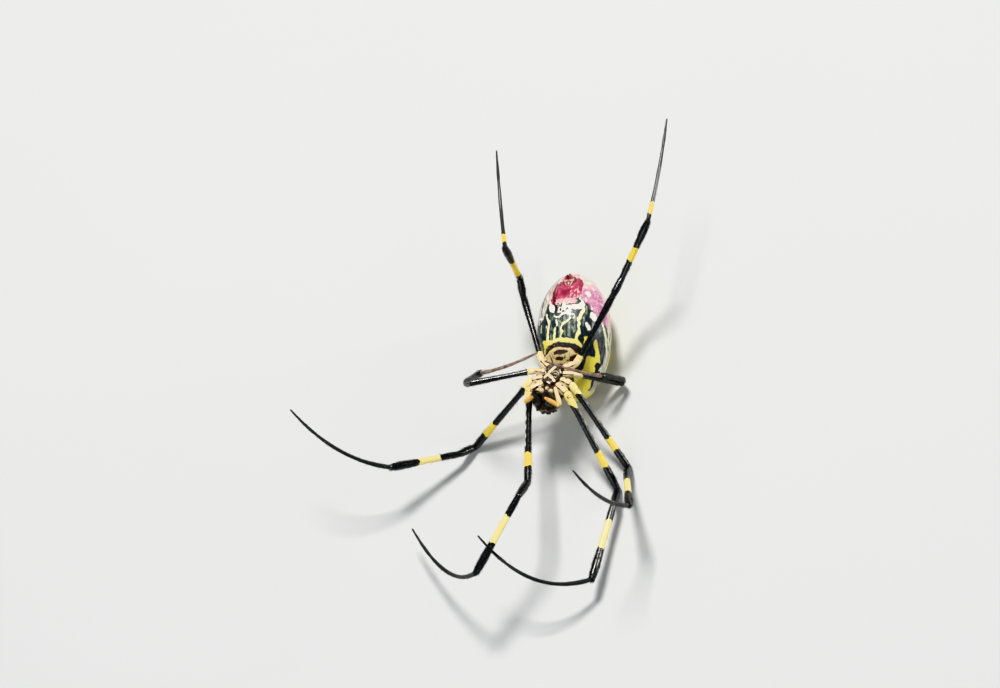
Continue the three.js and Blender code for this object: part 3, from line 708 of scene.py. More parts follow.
def abdomen_marks(station, turn):
    """How far inside each kind of marking the abdomen's points are, in mm, or from 0 to 1 for its shades."""
    x, y = plane(station, turn)
    x = x + 0.05 * waves(x, y, 0.9, 3) + 0.025 * waves(x, y, 0.35, 4)
    y = y + 0.05 * waves(x, y, 1.0, 5) + 0.025 * waves(x, y, 0.35, 6)
    side = np.abs(turn)
    arch = 0.35 * np.cos(np.radians((180 - side) * 1.5)) - 0.15 * waves(x, y, 2.4, 21)
    bars = union(*[width / 2 - np.abs(y - at + arch) for at, width in BACK_BARS])
    vein_lines = np.abs((x / 0.6 + 0.4 * waves(x * 0.5, y * 0.35, 1.2, 51) + 0.25) % 1 - 0.5) * 0.6
    vein = 0.08 + 0.13 * waves(x, y * 0.5, 0.9, 52) - 0.5 * smooth(np.abs(y - 8.4), 3.8, 5.6) - vein_lines
    vein = vein - 0.6 * smooth(side, 112, 118) - 1.2 * smooth(44 - side, -4, 4)
    vein = vein - 1.2 * smooth(inside(x, y, PINK_OUTLINE), -0.6, -0.2)
    vein = vein - 1.2 * smooth(y - 11.6, -0.5, 0.2) * (turn > 0)
    vein = np.maximum(vein, bars - 0.25 - 1.5 * smooth(94 - side, -8, 8) + 0.15 * waves(x * 1.5, y, 0.5, 63))
    back = smooth(side + 5 * waves(x, y, 0.8, 62) + 5 * np.cos(y * 2.5), 98, 112)
    streaks = waves(x * 0.8 + y * 0.9, (y - x) * 0.28, 0.9, 11)
    flank = 0.8 * smooth(side, 70, 84) - 0.4 + 0.3 * streaks - 1.5 * back
    silver = union(inside(x, y, SILVER_LEFT, SILVER_RIGHT), flank, 0.5 * smooth(y, 13.4, 14.2) - 0.2)
    rose_edge = 0.12 * waves(x, y, 0.35, 33) + 0.6 * (0.35 - np.abs(y - 9.95))
    rose_edge = rose_edge - 0.3 * smooth(np.abs(turn + 2), 14, 22)
    rose_flecks = 0.5 * waves(x, y, 0.5, 34) - 0.15 - 1.2 * smooth(np.abs(y - 11.2), 0.8, 1.4)
    rose_flecks = rose_flecks - 2 * smooth(np.abs(turn - 14), 8, 16)
    rings = [0.06 - np.abs(np.hypot(x - at[1] * DEGREE, y - at[0]) - 0.27) for at in RING_PLACES]
    cream = strokes(x, y, CREAM_STROKES) + 0.06 * waves(x, y, 0.5, 71)
    golden = inside(x, y, *GOLDEN_PATCHES, *map(mirrored, GOLDEN_PATCHES))
    dorsal = np.minimum((back - 0.5) * 1.4, 0.06 - bars)
    mosaic = (smooth(side, 90, 104) - 0.5) * 1.2 - 0.7 * np.abs(waves(x * 1.2, y, 1.3, 23)) + 0.1
    mosaic = np.where(side > 118, -1, mosaic)
    front = smooth(1.3 - y, 0, 1.0) - 0.5 - 0.3 * np.abs(waves(x, y, 1.6, 24))
    middle = smooth(np.abs(turn + 5), 26, 14) * smooth(np.abs(y - 7.1), 1.9, 0.9)
    sage = middle * smooth(waves(x * 2.4, y * 0.9, 0.8, 61), 0.0, 0.7) * 0.9
    freckles = waves(x, y, 0.28, 35) - 0.75 - 2 * smooth(np.abs(turn - 33), 4, 8)
    freckles = freckles - 2 * smooth(np.abs(y - 8.6), 1.6, 2.2)
    greyed = sage + smooth(strokes(x, y, PALE_STREAKS), -0.08, 0.06) + 0.5 * smooth(freckles, -0.3, 0.2)
    greyed = greyed + 0.22 * smooth(waves(x * 1.6, y * 0.5, 0.9, 31), 0.0, 0.9)
    pale_pink = smooth(turn, 66, 88) * 0.8 + 0.5 * smooth(streaks, 0.2, 0.9)
    pale_pink = pale_pink + 0.9 * smooth(y - 0.02 * turn, 10.5, 11.8)
    dusky = smooth(-turn, 26, 34) * smooth(-turn, 76, 60) * smooth(y, 9.6, 11.4)
    belly_gold = 0.4 * smooth(5.75 - y, 0, 0.4) + 0.3 * smooth(6.9 - y, 0, 0.7)
    gold = smooth(golden, -0.1, 0.05) + smooth(dorsal, -0.3, 0) + smooth(front, -0.3, 0) * 0.8
    gold = gold + belly_gold * (side < 60) + 0.6 * smooth(side, 92, 104)
    white = union(inside(x, y, *WHITE_PATCHES), strokes(x, y, WHITE_STROKES), *rings)
    return {
        "silver": silver + 0.12 * waves(x * 2.2, y * 0.5, 0.8, 53),
        "vein": vein,
        "greyed": np.clip(greyed, 0, 1),
        "pink": inside(x, y, PINK_OUTLINE),
        "pale_pink": np.clip(pale_pink, 0, 1),
        "dusky": np.clip(dusky * (0.55 + 0.45 * waves(x * 2.4, y * 0.6, 0.8, 73)), 0, 1),
        "red": inside(x, y, RED_OUTLINE),
        "deep_red": np.clip(sum(smooth(field, -0.3, 0.25) for field in blots(x, y, DEEP_RED)), 0, 1),
        "rose": union(inside(x, y, ROSE_RIM), rose_edge, rose_flecks),
        "maroon": strokes(x, y, MAROON_STROKES),
        "cream": union(cream, golden, dorsal, mosaic, front),
        "golden": np.clip(gold, 0, 1),
        "plate": inside(x, y, PLATE_OUTLINE),
        "white": white + 0.05 * waves(x, y, 0.4, 72),
        "brown": union(strokes(x, y, BROWN_STROKES), *blots(x, y, BROWN_BLOTS)),
    }


# The abdomen

ABDOMEN_POWER = 3.2  # how blunt its ends are
abdomen_low, abdomen_high = corners("abdomen")
ABDOMEN_LENGTH = (abdomen_high - abdomen_low)[1]
abdomen_axis = through([[0, 2.6], [0.3, 3.6], [0.6, 4.3], [1, 4.4]])  # its height above the floor


def spread(field, reach, pick):
    """Each value replaced by the highest or the lowest of its neighbours up to reach steps away."""
    shifts = range(-reach, reach + 1)
    field = pick([np.roll(field, s, axis=1) for s in shifts], axis=0)
    padded = np.pad(field, ((reach, reach), (0, 0)), mode="edge")
    return pick([padded[reach + s:len(field) + reach + s] for s in shifts], axis=0)


def softened(field, passes):
    """The field smoothed by averaging each value with its neighbours, a number of times."""
    for _ in range(passes):
        field = (np.roll(field, 1, axis=1) + 2 * field + np.roll(field, -1, axis=1)) / 4
        padded = np.pad(field, ((1, 1), (0, 0)), mode="edge")
        field = (padded[:-2] + 2 * field + padded[2:]) / 4
    return field


def resampled(field, stations, new_stations, columns):
    """A field on stations by turns, read at new stations and more turns."""
    steps = np.arange(field.shape[1] + 1) / field.shape[1]
    wrapped = np.concatenate([field, field[:, :1]], axis=1)
    wide = np.array([np.interp(np.arange(columns) / columns, steps, row) for row in wrapped])
    return np.array([np.interp(new_stations, stations, column) for column in wide.T]).T


def abdomen_patch(place, rows=220, columns=300):
    """The abdomen's solid, read by rays from its axis and then smoothed and given its folds and pits."""
    tree = node_tree("abdomen")
    middle_x = (abdomen_low[0] + abdomen_high[0]) / 2
    stations = np.linspace(0.05, 0.95, 46)
    ratio = []
    for t in stations:
        centre = Vector((middle_x, abdomen_low[1] + t * ABDOMEN_LENGTH, abdomen_axis(t)))
        reach = [tree.ray_cast(centre, Vector((math.sin(a), 0, math.cos(a))))[3] for a in turns(96)]
        ratio.append(np.array(reach) / profile(t, ABDOMEN_POWER))
    closed = spread(spread(np.array(ratio), 3, np.max), 3, np.min)  # fills the sockets of other nodes
    t = closing(rows, 0.035)
    full = profile(t, ABDOMEN_POWER)[:, None]
    reach = resampled(softened(closed, 5), stations, t, columns) * full
    turn = turns(columns)
    degrees = (np.degrees(turn) + 180) % 360 - 180
    station = (t * ABDOMEN_LENGTH)[:, None]
    marks = abdomen_marks(station, degrees[None, :])
    x, y = plane(station, degrees[None, :])
    relief = 0.03 * smooth(marks["cream"], -0.05, 0.05) - 0.07 * smooth(marks["brown"], -0.12, 0.12)
    relief = relief + 0.07 * smooth(inside(x, y, PLATE_OUTLINE), -0.2, 0.2)
    relief = relief + 0.035 * waves(x, y, 2.2, 41) + 0.018 * waves(x * 2.2, y * 0.4, 0.9, 42)
    for at in (4.2, 6.6, 8.9, 11.0):
        for side in (-1, 1):
            relief = relief - 0.16 * bump((degrees - side * 166) * DEGREE, 0, 0.2) * bump(station, at, 0.2)
    wrinkles = 0.02 * np.cos(station * 26) * smooth(station, 13.2, 14.2) * smooth(np.abs(degrees), 60, 20)
    reach = np.maximum(reach - 0.07 + (relief + wrinkles) * smooth(full, 0.0, 0.5), 0.02)
    rings = np.stack(np.broadcast_arrays(
        middle_x + reach * np.sin(turn),
        (abdomen_low[1] + 0.05 + t * (ABDOMEN_LENGTH - 0.1))[:, None],
        np.maximum(abdomen_axis(t)[:, None] + reach * np.cos(turn), 0.0),
    ), axis=2)
    return Patch(rings, marks, place)


# Legs

LIMB_MARKS = ("band", "pale", "cream", "amber", "seam", "line", "ashen", "dull")
LEG_PARTS = ("coxa", "femur", "patella", "tibia", "foot")
# Radii along each length, from 0 at its start to 1 at its end, for the front pair
RADII = {
    "coxa": through([[0, 0.38], [0.3, 0.5], [0.75, 0.52], [1, 0.44]]),
    "trochanter": through([[0, 0.42], [0.5, 0.47], [1, 0.45]]),
    "femur": through([[0, 0.43], [0.06, 0.4], [0.16, 0.355], [0.45, 0.36], [0.7, 0.41], [0.9, 0.43],
                      [1, 0.37]]),
    "patella": through([[0, 0.37], [0.25, 0.44], [0.7, 0.44], [1, 0.37]]),
    "tibia": through([[0, 0.34], [0.08, 0.38], [0.35, 0.37], [0.65, 0.4], [0.93, 0.43], [1, 0.36]]),
    "metatarsus": through([[0, 0.24], [0.06, 0.265], [0.4, 0.225], [0.94, 0.19], [1, 0.17]]),
    "tarsus": through([[0, 0.15], [0.08, 0.175], [0.6, 0.15], [1, 0.1]]),
}
STOUTNESS = {1: 1.0, 2: 1.0, 3: 0.86, 4: 0.95}
PALE_LINE_HIGHLIGHT_TURN = math.radians(-57)  # where the pale line of a femur runs, from its belly side; the line is partly a real stripe and partly a painted highlight
ENDS = {"coxa": (1.0, 0.3), "trochanter": (0.9, 0.4), "femur": (0.5, 0.9)}  # how domed the two ends are
COLUMNS = {"coxa": 44, "trochanter": 44, "metatarsus": 18, "tarsus": 18}  # 28 for the others
TARSUS_START = 0.73  # the share of the foot that is metatarsus
HIP_LENGTH = 0.8  # the length of the trochanter
# Where the yellow bands lie along each length, as shares of it. The third pair has none.
BANDS = {
    (1, "right"): {"femur": (0.57, 0.735), "tibia": (0.24, 0.60)},
    (1, "left"): {"femur": (0.675, 0.83), "tibia": (0.26, 0.615)},
    (2, "right"): {"femur": (0.60, 0.75), "tibia": (0.19, 0.6)},
    (2, "left"): {"femur": (0.61, 0.79), "tibia": (0.29, 0.61)},
    (4, "right"): {"tibia": (0.33, 0.555), "metatarsus": (0.115, 0.28)},
    (4, "left"): {"tibia": (0.15, 0.58), "metatarsus": (0.1, 0.24)},
}
PALE = {"femur": 0.1, "tibia": 0.85, "metatarsus": 0.6}  # from saturated yellow at 0 to pale cream at 1
HIP_PALE = {1: 0.6, 2: 0.95, 3: 0, 4: 0}
BASE_YELLOW = {1: 0.75, 2: 0.4, 3: 0.1, 4: 0.25}  # how far the yellow of the hip runs down the femur, in mm


class Leg:
    """The joints and lines of one leg, read from its solids."""

    def __init__(self, pair, side_name, side):
        self.pair, self.side = pair, side
        self.bands = BANDS.get((pair, side_name), {})
        self.names = [f"leg{pair}_{side_name}_{part}" for part in LEG_PARTS]
        joints = [joint_between(a, b) for a, b in zip(self.names, self.names[1:])]
        root = self.farthest(self.names[0], joints[0])
        self.joints = [root + unit(joints[0] - root) * 0.36] + joints
        self.foot = self.foot_line(joints[-1])
        lines = [unit(b - a) for a, b in zip(self.joints, self.joints[1:])]
        self.back = unit(lines[1] - lines[3])

    @staticmethod
    def farthest(name, place):
        """The point of a node that is farthest from a place."""
        points = node_points(name)
        return points[np.argmax(np.linalg.norm(points - place, axis=1))]

    def foot_line(self, start):
        """A curve from the ankle to the tip whose middle is the solid's own."""
        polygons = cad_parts[self.names[-1]].data.polygons
        areas = np.array([p.area for p in polygons])
        centres = np.array([p.center for p in polygons]) / MM
        middle = (centres * areas[:, None]).sum(axis=0) / areas.sum()
        tip = self.farthest(self.names[-1], start)
        return arc(start, 3 * middle - start - tip, tip, 200)

    def belly_turn(self, line):
        """The turn round one length at which its skin faces the way the belly does."""
        ahead = unit(line[-1] - line[0])
        across = unit(self.back - (self.back @ ahead) * ahead)
        return math.atan2(chest_out @ np.cross(ahead, across), chest_out @ across)

    def lengths(self):
        """Each visible length of the leg: its name, the points of its middle line, its radii and shares."""
        radii = lambda name: lambda t: RADII[name](t) * STOUTNESS[self.pair]
        root, hip, knee, shin, ankle = self.joints
        toward = unit(knee - hip)
        pieces = (
            ("coxa", root, hip - unit(hip - root) * 0.25),
            ("trochanter", hip - unit(hip - root) * 0.05, hip + toward * HIP_LENGTH * 0.75),
            ("femur", hip + toward * HIP_LENGTH, knee),
            ("patella", knee, shin),
            ("tibia", shin, ankle),
        )
        for name, start, end in pieces:
            rows = int(span(start, end) / (0.1 if span(start, end) > 2.5 else 0.05))
            yield name, *straight(start, end, radii(name), rows, *ENDS.get(name, ()))
        split = int(len(self.foot) * TARSUS_START)
        for name, line in (("metatarsus", self.foot[:split + 1]), ("tarsus", self.foot[split:])):
            length = path_length(line)
            stations, sizes = rounded(length, radii(name), max(8, int(length / 0.1)))
            inner = np.clip(stations / length, 0, 1) * (len(line) - 1)
            points = np.array([np.interp(inner, np.arange(len(line)), column) for column in line.T]).T
            points += np.minimum(stations, 0)[:, None] * unit(line[1] - line[0])
            points += np.maximum(stations - length, 0)[:, None] * unit(line[-1] - line[-2])
            yield name, points, sizes, stations / length


def path_length(line):
    return float(np.linalg.norm(np.diff(line, axis=0), axis=1).sum())


def leg_marks(leg, name, share, turn, length):
    """How far inside the bands and seams of one length its points are, in mm. turn is 0 on the belly."""
    share = share[:, None]
    turn = turn[None, :]
    ragged = 0.07 * np.cos(2 * turn + leg.pair) + 0.03 * np.cos(5 * turn)
    from_line = np.cos(turn - PALE_LINE_HIGHLIGHT_TURN)
    marks = {mark: np.full((len(share), turn.size), -1.0) for mark in LIMB_MARKS}
    marks["pale"] = marks["pale"] * 0 + (0 if leg.pair == 4 else PALE.get(name, 0))
    marks["dull"] = marks["dull"] * 0 + (1 if "tars" in name else 0)
    if name in leg.bands:
        low, high = leg.bands[name]
        marks["band"] = np.minimum(share - low, high - share) * length + ragged
    if name == "femur":
        hip_end = BASE_YELLOW[leg.pair] * (1 + 0.5 * from_line) - share * length + 1.6 * ragged
        marks["band"] = np.maximum(marks["band"], hip_end)
        marks["pale"] = np.where(hip_end > -0.2, 0.5 if leg.pair == 1 else 0.8, marks["pale"])
    # The pale femur line: partly a real stripe and partly a painted highlight on the edge that the light
    # strikes.
    if name == "femur" and leg.pair < 4:
        end = 0.6 if leg.pair < 3 else 0.8
        reach = 0.075 - np.arccos(from_line.clip(-1, 1)) * 0.34
        marks["line"] = np.minimum(reach, (end - share) * length) - 0.03 * (1 + np.cos(share * 60))
    if name == "coxa":
        ends = union(0.04 - np.abs((share - 1.03) * length), (0.06 - share) * length)
        sides = 0.1 - 0.5 * np.abs(np.cos(turn * 1.5 + 0.4) + 0.1 + 0.07 * np.sin(share * 6 + leg.pair))
        sides = sides + 0.035 * np.sin(share * 11 + turn * 2 + leg.pair)
        fleck = 0.12 - np.hypot((share - 0.5) * length * 0.6, 0.45 * (np.cos(turn + 2.2) + 0.5 * share))
        marks["cream"] += 1.5
        marks["seam"] = union(ends, sides, fleck)
    if name == "trochanter":
        marks["band" if leg.pair < 3 else "cream"] += 1.5
        marks["pale"] += HIP_PALE[leg.pair]
        end_line = 0.02 - np.abs((share - 1.1) * length)
        marks["seam"] = np.maximum(marks["seam"], end_line)
    if name == "trochanter" and leg.pair == 1:
        ring = np.hypot((share - 0.5) * length, 0.9 * np.sin(turn / 2))
        curl = 0.06 - np.abs(ring - 0.3 - 0.04 * np.sin(turn * 3 + share * 8))
        marks["seam"] = np.maximum(end_line, curl)
        marks["cream"] = np.maximum(marks["cream"], 0.2 - ring)
    if leg.pair == 3 and "tars" in name:
        marks["ashen"] += 1.5
    return marks


def leg_patches(leg, unwrap):
    """The patches of one leg, whose first one opens a new strip of the unwrap."""
    shape = lambda turn: 1 + 0.035 * np.cos(2 * turn) + 0.02 * np.cos(3 * turn)
    for i, (name, line, sizes, share) in enumerate(leg.lengths()):
        columns = COLUMNS.get(name, 28)
        length = path_length(line)
        rings = tube(line, sizes, leg.back, columns, shape)
        marks = leg_marks(leg, name, share, (turns(columns) - leg.belly_turn(line)) * leg.side, length)
        place = unwrap.patch(2.5, length * 0.92, new_strip=i == 0)
        band = leg.bands.get(name)
        yield Patch(rings, marks, place, name=name, pair=leg.pair, share=share, length=length, band=band)


# Palps

PALP_LINE = ((1.0, -2.3, 0.0), (2.2, -4.65, 0.1), (2.1, -5.1, 0.4), (0.75, -5.2, 1.5))
PALP_TUCK = {1: 1.0, -1: 0.82}  # the left palp is held closer in
PALP_PARTS = (
    ("palp_femur", 0, through([[0, 0.19], [0.5, 0.24], [0.85, 0.25], [1, 0.22]])),
    ("palp_tibia", 1, through([[0, 0.2], [0.5, 0.24], [1, 0.22]])),
    ("palp_tarsus", 2, through([[0, 0.21], [0.3, 0.25], [0.75, 0.2], [1, 0.1]])),
)


def palp_patches(side, unwrap):
    points = [chest(x * side * PALP_TUCK[side], y, z) for x, y, z in PALP_LINE]
    for name, start, radii in PALP_PARTS:
        a, b = points[start], points[start + 1]
        length = span(a, b)
        line, sizes, share = straight(a, b, radii, int(length / 0.07))
        grid = np.zeros((len(share), 20)) + share[:, None]
        marks = {mark: grid * 0 - 1 for mark in LIMB_MARKS}
        marks |= {"pale": grid * 0 + 0.7, "dull": grid * 0, "band": grid * 0 + 0.5}
        if name == "palp_femur":
            marks["cream"] = (0.95 - grid) * length
        else:
            marks["amber"] = 0.5 * length - np.abs(grid - 0.55) * length + 0.02
        if name == "palp_tarsus":
            marks["seam"] = (grid - 1.02) * length
        rings = tube(line, sizes, chest_out, 20)
        yield Patch(rings, marks, unwrap.patch(1.6, length * 1.1), name=name, pair=1, length=length)


# The flesh of the chest between the hips, and the waist

def dark_patch(rings, place):
    """A patch that is all dark brown skin."""
    grid = np.zeros(rings.shape[:2])
    marks = {name: grid + (0.3 if name == "seam" else -1) for name in LIMB_MARKS}
    return Patch(rings, marks | {"pale": grid, "dull": grid}, place)


def chest_patch(place):
    t = np.linspace(0.01, 0.99, 60)[:, None]
    full = profile(t, 3.5)
    turn = turns(48)
    rings = chest(np.sin(turn) * 1.35 * full, -2.6 + 5.0 * t, -0.95 + np.cos(turn) * 0.58 * full)
    return dark_patch(rings, place)


def waist_patch(place):
    points = node_points("waist")
    start, end = (points[np.argmax(way * local(points)[:, 1])] for way in (-1, 1))
    t = np.linspace(0, 1, 40)
    radii = 0.38 * profile(t, 6) + 0.01 + 0.02 * np.cos(t * 40)
    return dark_patch(tube(start + t[:, None] * (end - start), radii, chest_out, 28), place)


# Hair

PLACE_SIZE = 0.003  # how wide a hair's place is on the unwrap
FLOOR_GAP = 0.02  # no hair comes nearer the floor than this
HAIR_FACES = ((0, 2, 1), (0, 1, 4), (0, 4, 3), (1, 2, 5), (1, 5, 4), (2, 0, 3), (2, 3, 5), (3, 4, 6),
              (4, 5, 6), (5, 3, 6))


class Coat(Sheet):
    """Tapering three-sided hairs whose roots lie on a patch. Each is a small place on the unwrap."""

    def grow(self, patch, count, length, width, lift, density=1.0, bend=0.35, marks=True):
        rings = patch.rings
        rows, columns = rings.shape[:2]
        across = np.roll(rings, -1, axis=1)[:-1] - rings[:-1]
        area = np.linalg.norm(np.cross(across, rings[1:] - rings[:-1]), axis=2)
        area = area * np.broadcast_to(density, (rows, columns))[:-1]
        cells = random.choice(area.size, size=count, p=(area / area.sum()).ravel())
        i, j = cells // columns, cells % columns
        a, b = random.random(count), random.random(count)

        def read(grid):
            """The grid's values at the roots."""
            k = (j + 1) % columns
            s, t = (a[:, None], b[:, None]) if grid.ndim == 3 else (a, b)
            low = grid[i, j] * (1 - t) + grid[i, k] * t
            high = grid[i + 1, j] * (1 - t) + grid[i + 1, k] * t
            return low * (1 - s) + high * s

        normals = unit(read(patch.normals))
        along = unit(read(patch.along))
        side = unit(np.cross(normals, along))
        swing = random.normal(0, 0.28, count)[:, None]
        along = unit(along * np.cos(swing) + side * np.sin(swing))
        side = unit(np.cross(normals, along))
        sizes = length * random.uniform(0.7, 1.25, count)[:, None]
        rise = np.radians(lift * random.uniform(0.7, 1.3, count))[:, None]
        out = along * np.cos(rise) + normals * np.sin(rise)
        far = along * np.cos(rise * bend) + normals * np.sin(rise * bend)
        thick = width * random.uniform(0.8, 1.2, count)[:, None]
        base = read(rings) - normals * width * 0.6
        middle = base + out * sizes * 0.5
        ways = [side * math.cos(q) + np.cross(side, out) * math.sin(q) for q in (0.5, 2.6, 4.7)]
        points = [base + way * thick * 0.5 for way in ways] + [middle + way * thick * 0.36 for way in ways]
        points = np.stack(points + [middle + far * sizes * 0.5], axis=1)
        kept = points[:, :, 2].min(axis=1) > FLOOR_GAP
        faces = [tuple(7 * hair + q for q in face) for hair in range(kept.sum()) for face in HAIR_FACES]
        (u0, v0), (u1, v1) = patch.place
        roots = np.stack([u0 + (u1 - u0) * (j + b) / columns, v0 + (v1 - v0) * (i + a) / (rows - 1)], axis=1)
        spots = np.array(((0, 0), (1, 0), (0, 1))) * PLACE_SIZE - PLACE_SIZE / 2
        maps = roots[kept][:, None] + np.tile(spots, (len(HAIR_FACES), 1))
        root_marks = {}
        for name, values in patch.marks.items() if marks else ():
            grid = np.broadcast_to(values, (rows, columns)).astype(float)
            root_marks[name] = np.repeat(read(grid)[kept], 7)
        self.add(points[kept].reshape(-1, 3), faces, maps.reshape(-1, 2), root_marks)


# Head, chest plates and mouth

HEAD_RIM = -1.35
HEAD_MIDDLE = HEAD_RIM - 0.1
SHELL_TURN = 92  # how far round from its back the shell is read from the solid, in degrees
EYES = [f"{place}_{name}" for place in ("middle_front", "middle_rear", "side_front", "side_rear")
        for name, _ in SIDES]


def shell_profile(t):
    """The outline of the shell over the head and thorax, blunter in front."""
    return profile(t, np.where(t < 0.5, 6, 3.4))


def carapace_reach(front, rear, stations, degrees):
    """How far the solid of the head and thorax reaches from its middle line, as shares of the outline."""
    tree = node_tree("head_thorax")
    reach = np.full((len(stations), len(degrees)), np.nan)
    for i, t in enumerate(stations):
        centre = Vector(chest(0, front + t * (rear - front), HEAD_MIDDLE))
        for j, a in enumerate(np.radians(degrees)):
            way = Vector(chest_across * math.sin(a) - chest_out * math.cos(a))
            hit = tree.ray_cast(centre + way * 6, -way)
            if hit[0] is not None:
                reach[i, j] = (6 - hit[3]) / shell_profile(t)
        good = ~np.isnan(reach[i])
        reach[i] = np.interp(degrees, degrees[good], reach[i][good])
    for _ in range(3):
        padded = np.pad(reach, 1, mode="edge")
        reach = (padded[:-2, 1:-1] + padded[2:, 1:-1] + padded[1:-1, :-2] + padded[1:-1, 2:] + 4 * reach) / 8
    return reach


def carapace_relief(across, y):
    """The groove behind the head, the pit of the thorax and the furrows that spread from it."""
    groove = bump(np.abs(across) - 0.9 * smooth(y, -2.2, 0.3) * (1.2 - 0.5 * smooth(y, -1.2, 0.2)), 0, 0.16)
    relief = -0.07 * groove * smooth(y, -2.4, -1.2) * smooth(y, 0.9, 0.0)
    relief = relief - 0.22 * bump(across, 0, 0.35) * bump(y, 0.25, 0.22)
    for way in np.radians([35, 71, 107, 143]):
        line = (np.abs(across) - y + 0.25) * math.cos(way)
        relief = relief - 0.05 * bump(line, 0, 0.14) * smooth(np.hypot(across, y - 0.25), 0.4, 0.9)
    return relief + 0.02 * waves(across, y, 0.9, 51)


def carapace_marks(across, y):
    """The paler parts of the shell: two bars on the head and a rim on the thorax."""
    bars = 0.18 - np.abs(np.abs(across) - 0.75 - 0.1 * y) + 0.1 * waves(across, y, 0.7, 52)
    return np.where(y < -0.6, bars, 0.12 - np.abs(np.hypot(across, (y - 0.2) * 1.1) - 2.1) * 0.8)


def carapace_patch(place, rows=150, columns=150):
    """The shell over the head and thorax: its back is read from the solid, and its belly side is hidden."""
    lengthwise = local(node_points("head_thorax"))[:, 1]
    front, rear = lengthwise.min(), lengthwise.max()
    stations = np.linspace(0.05, 0.95, 36)
    read_turns = np.linspace(-SHELL_TURN, SHELL_TURN, 61)
    reach = carapace_reach(front, rear, stations, read_turns)
    t = closing(rows, 0.03)
    degrees = np.arange(columns) * 360 / columns - 180
    grid = np.array([np.interp(degrees.clip(-SHELL_TURN, SHELL_TURN), read_turns, row) for row in reach])
    full = shell_profile(t)[:, None]
    grid = np.array([np.interp(t, stations, column) for column in grid.T]).T * full
    under = smooth(np.abs(degrees), SHELL_TURN, SHELL_TURN + 20)
    grid = grid * (1 - 0.62 * under) + 0.04 * bump(np.abs(degrees), 90, 9) * full
    a = np.radians(degrees)
    y = front + t[:, None] * (rear - front)
    across = np.sin(a) * grid
    relief = carapace_relief(across, y) * (1 - under)
    surface = chest(across, y, HEAD_MIDDLE - np.cos(a) * grid)
    for name in EYES:
        distance = np.linalg.norm(surface - node_centre("eye_" + name), axis=2)
        relief = relief + 0.09 * bump(distance, 0, eye_radius(name) * 1.55)
    grid = grid - 0.05 + relief
    marks = {"pale_shell": carapace_marks(across, y)}
    return Patch(chest(np.sin(a) * grid, y, HEAD_MIDDLE - np.cos(a) * grid), marks, place)


def plate_patch():
    """The heart-shaped breastplate, with a low knob beside each hip."""
    lengthwise = local(node_points("breastplate"))[:, 1]
    front, rear = lengthwise.min(), lengthwise.max()
    half = through([[0, 0.4], [0.12, 0.66], [0.35, 0.9], [0.6, 1.0], [0.82, 0.76], [1, 0.3]])
    t = np.linspace(0.01, 0.99, 90)[:, None]
    turn = turns(96)
    full = profile(t, 4)
    y = front + t * (rear - front)
    scallop = 1 - 0.07 * np.cos(t * math.pi * 8) * np.abs(np.sin(turn))
    across = np.sin(turn) * half(1 - t) * full * scallop
    lift = np.cos(turn)
    knobs = sum(bump(np.abs(across), 0.62, 0.22) * bump(y, at, 0.22) for at in (-0.85, -0.25, 0.4, 0.95))
    out = -0.12 + np.where(lift > 0, 0.2, 0.1) * lift * full
    out = out + (0.05 * knobs - 0.04 * bump(across, 0, 0.18)) * (lift > 0)
    return Patch(chest(across, y, out), {"pale_plate": plate_marks(across, y)})


# The cream strokes of the breastplate: a slanted bar behind, a bent patch in front, a hook and flecks.
# Each is a width and its places across and along the chest.
PLATE_STROKES = (
    (0.34, ((-0.36, 0.18), (0.18, 1.3))), (0.2, ((-0.85, 1.0), (-0.6, 1.3))),
    (0.34, ((-0.78, -0.75), (-0.42, -0.22))), (0.42, ((-0.42, -0.22), (0.1, -0.6))),
    (0.26, ((0.1, -0.6), (0.7, -1.25))), (0.07, ((-0.05, 0.2), (0.3, 0.42), (0.72, 0.2), (0.85, -0.25))),
    (0.08, ((0.25, -0.08), (0.48, 0.04), (0.7, -0.25), (0.6, -0.6), (0.36, -0.45))),
    (0.16, ((0.75, 0.75), (0.9, 0.35))), (0.12, ((-0.9, 0.3), (-0.8, -0.05))),
    (0.1, ((-0.3, -1.3), (0.15, -1.5))),
)


def plate_marks(x, y):
    return union(*[width / 2 - nearest(x, y, a, b)[0]
                   for width, places in PLATE_STROKES for a, b in zip(places, places[1:])])


def lobe_patch(start, end, radii, columns, across, place=WHOLE, mark=None):
    """A rounded length between two places of the chest."""
    a, b = chest(*start), chest(*end)
    line, sizes, share = straight(a, b, radii, max(10, int(span(a, b) / 0.06)))
    rings = tube(line, sizes, across, columns)
    marks = {"pale_plate": (mark(share) if mark else -1 + 0 * share)[:, None]}
    return Patch(rings, marks, place)


def eye_radius(name):
    low, high = corners("eye_" + name)
    return (high - low)[2] / 2


def eye_patch(name):
    """A lens that bulges away from the middle of the head."""
    middle, radius = node_centre("eye_" + name), eye_radius(name) * 1.02
    outward = unit(middle - chest(0, -2.6, HEAD_RIM))
    a = np.linspace(0.05, math.pi - 0.05, 28)
    line = middle + outward * (np.cos(a) * radius)[:, None]
    return Patch(tube(line, np.sin(a) * radius * (1 + 0.02 * np.cos(a)), chest_across + 0.3 * chest_out, 32))


def mouth_patches():
    """The lip, and a lobe on each side of it."""
    places = Unwrap(8)
    cream_tip = lambda share: (share - 0.75) * 0.9
    lip = through([[0, 0.3], [0.5, 0.34], [1, 0.26]])
    lobe = through([[0, 0.3], [0.6, 0.37], [1, 0.28]])
    yield lobe_patch((0, -1.75, -0.35),
    (0, -2.35, -0.2), lip, 28, chest_out, places.patch(2, 1.6), cream_tip)
    for _, side in SIDES:
        start, end = (0.45 * side, -1.95, -0.4), (0.6 * side, -2.85, -0.08)
        yield lobe_patch(start, end, lobe, 28, chest_out, places.patch(2, 1.8), cream_tip)


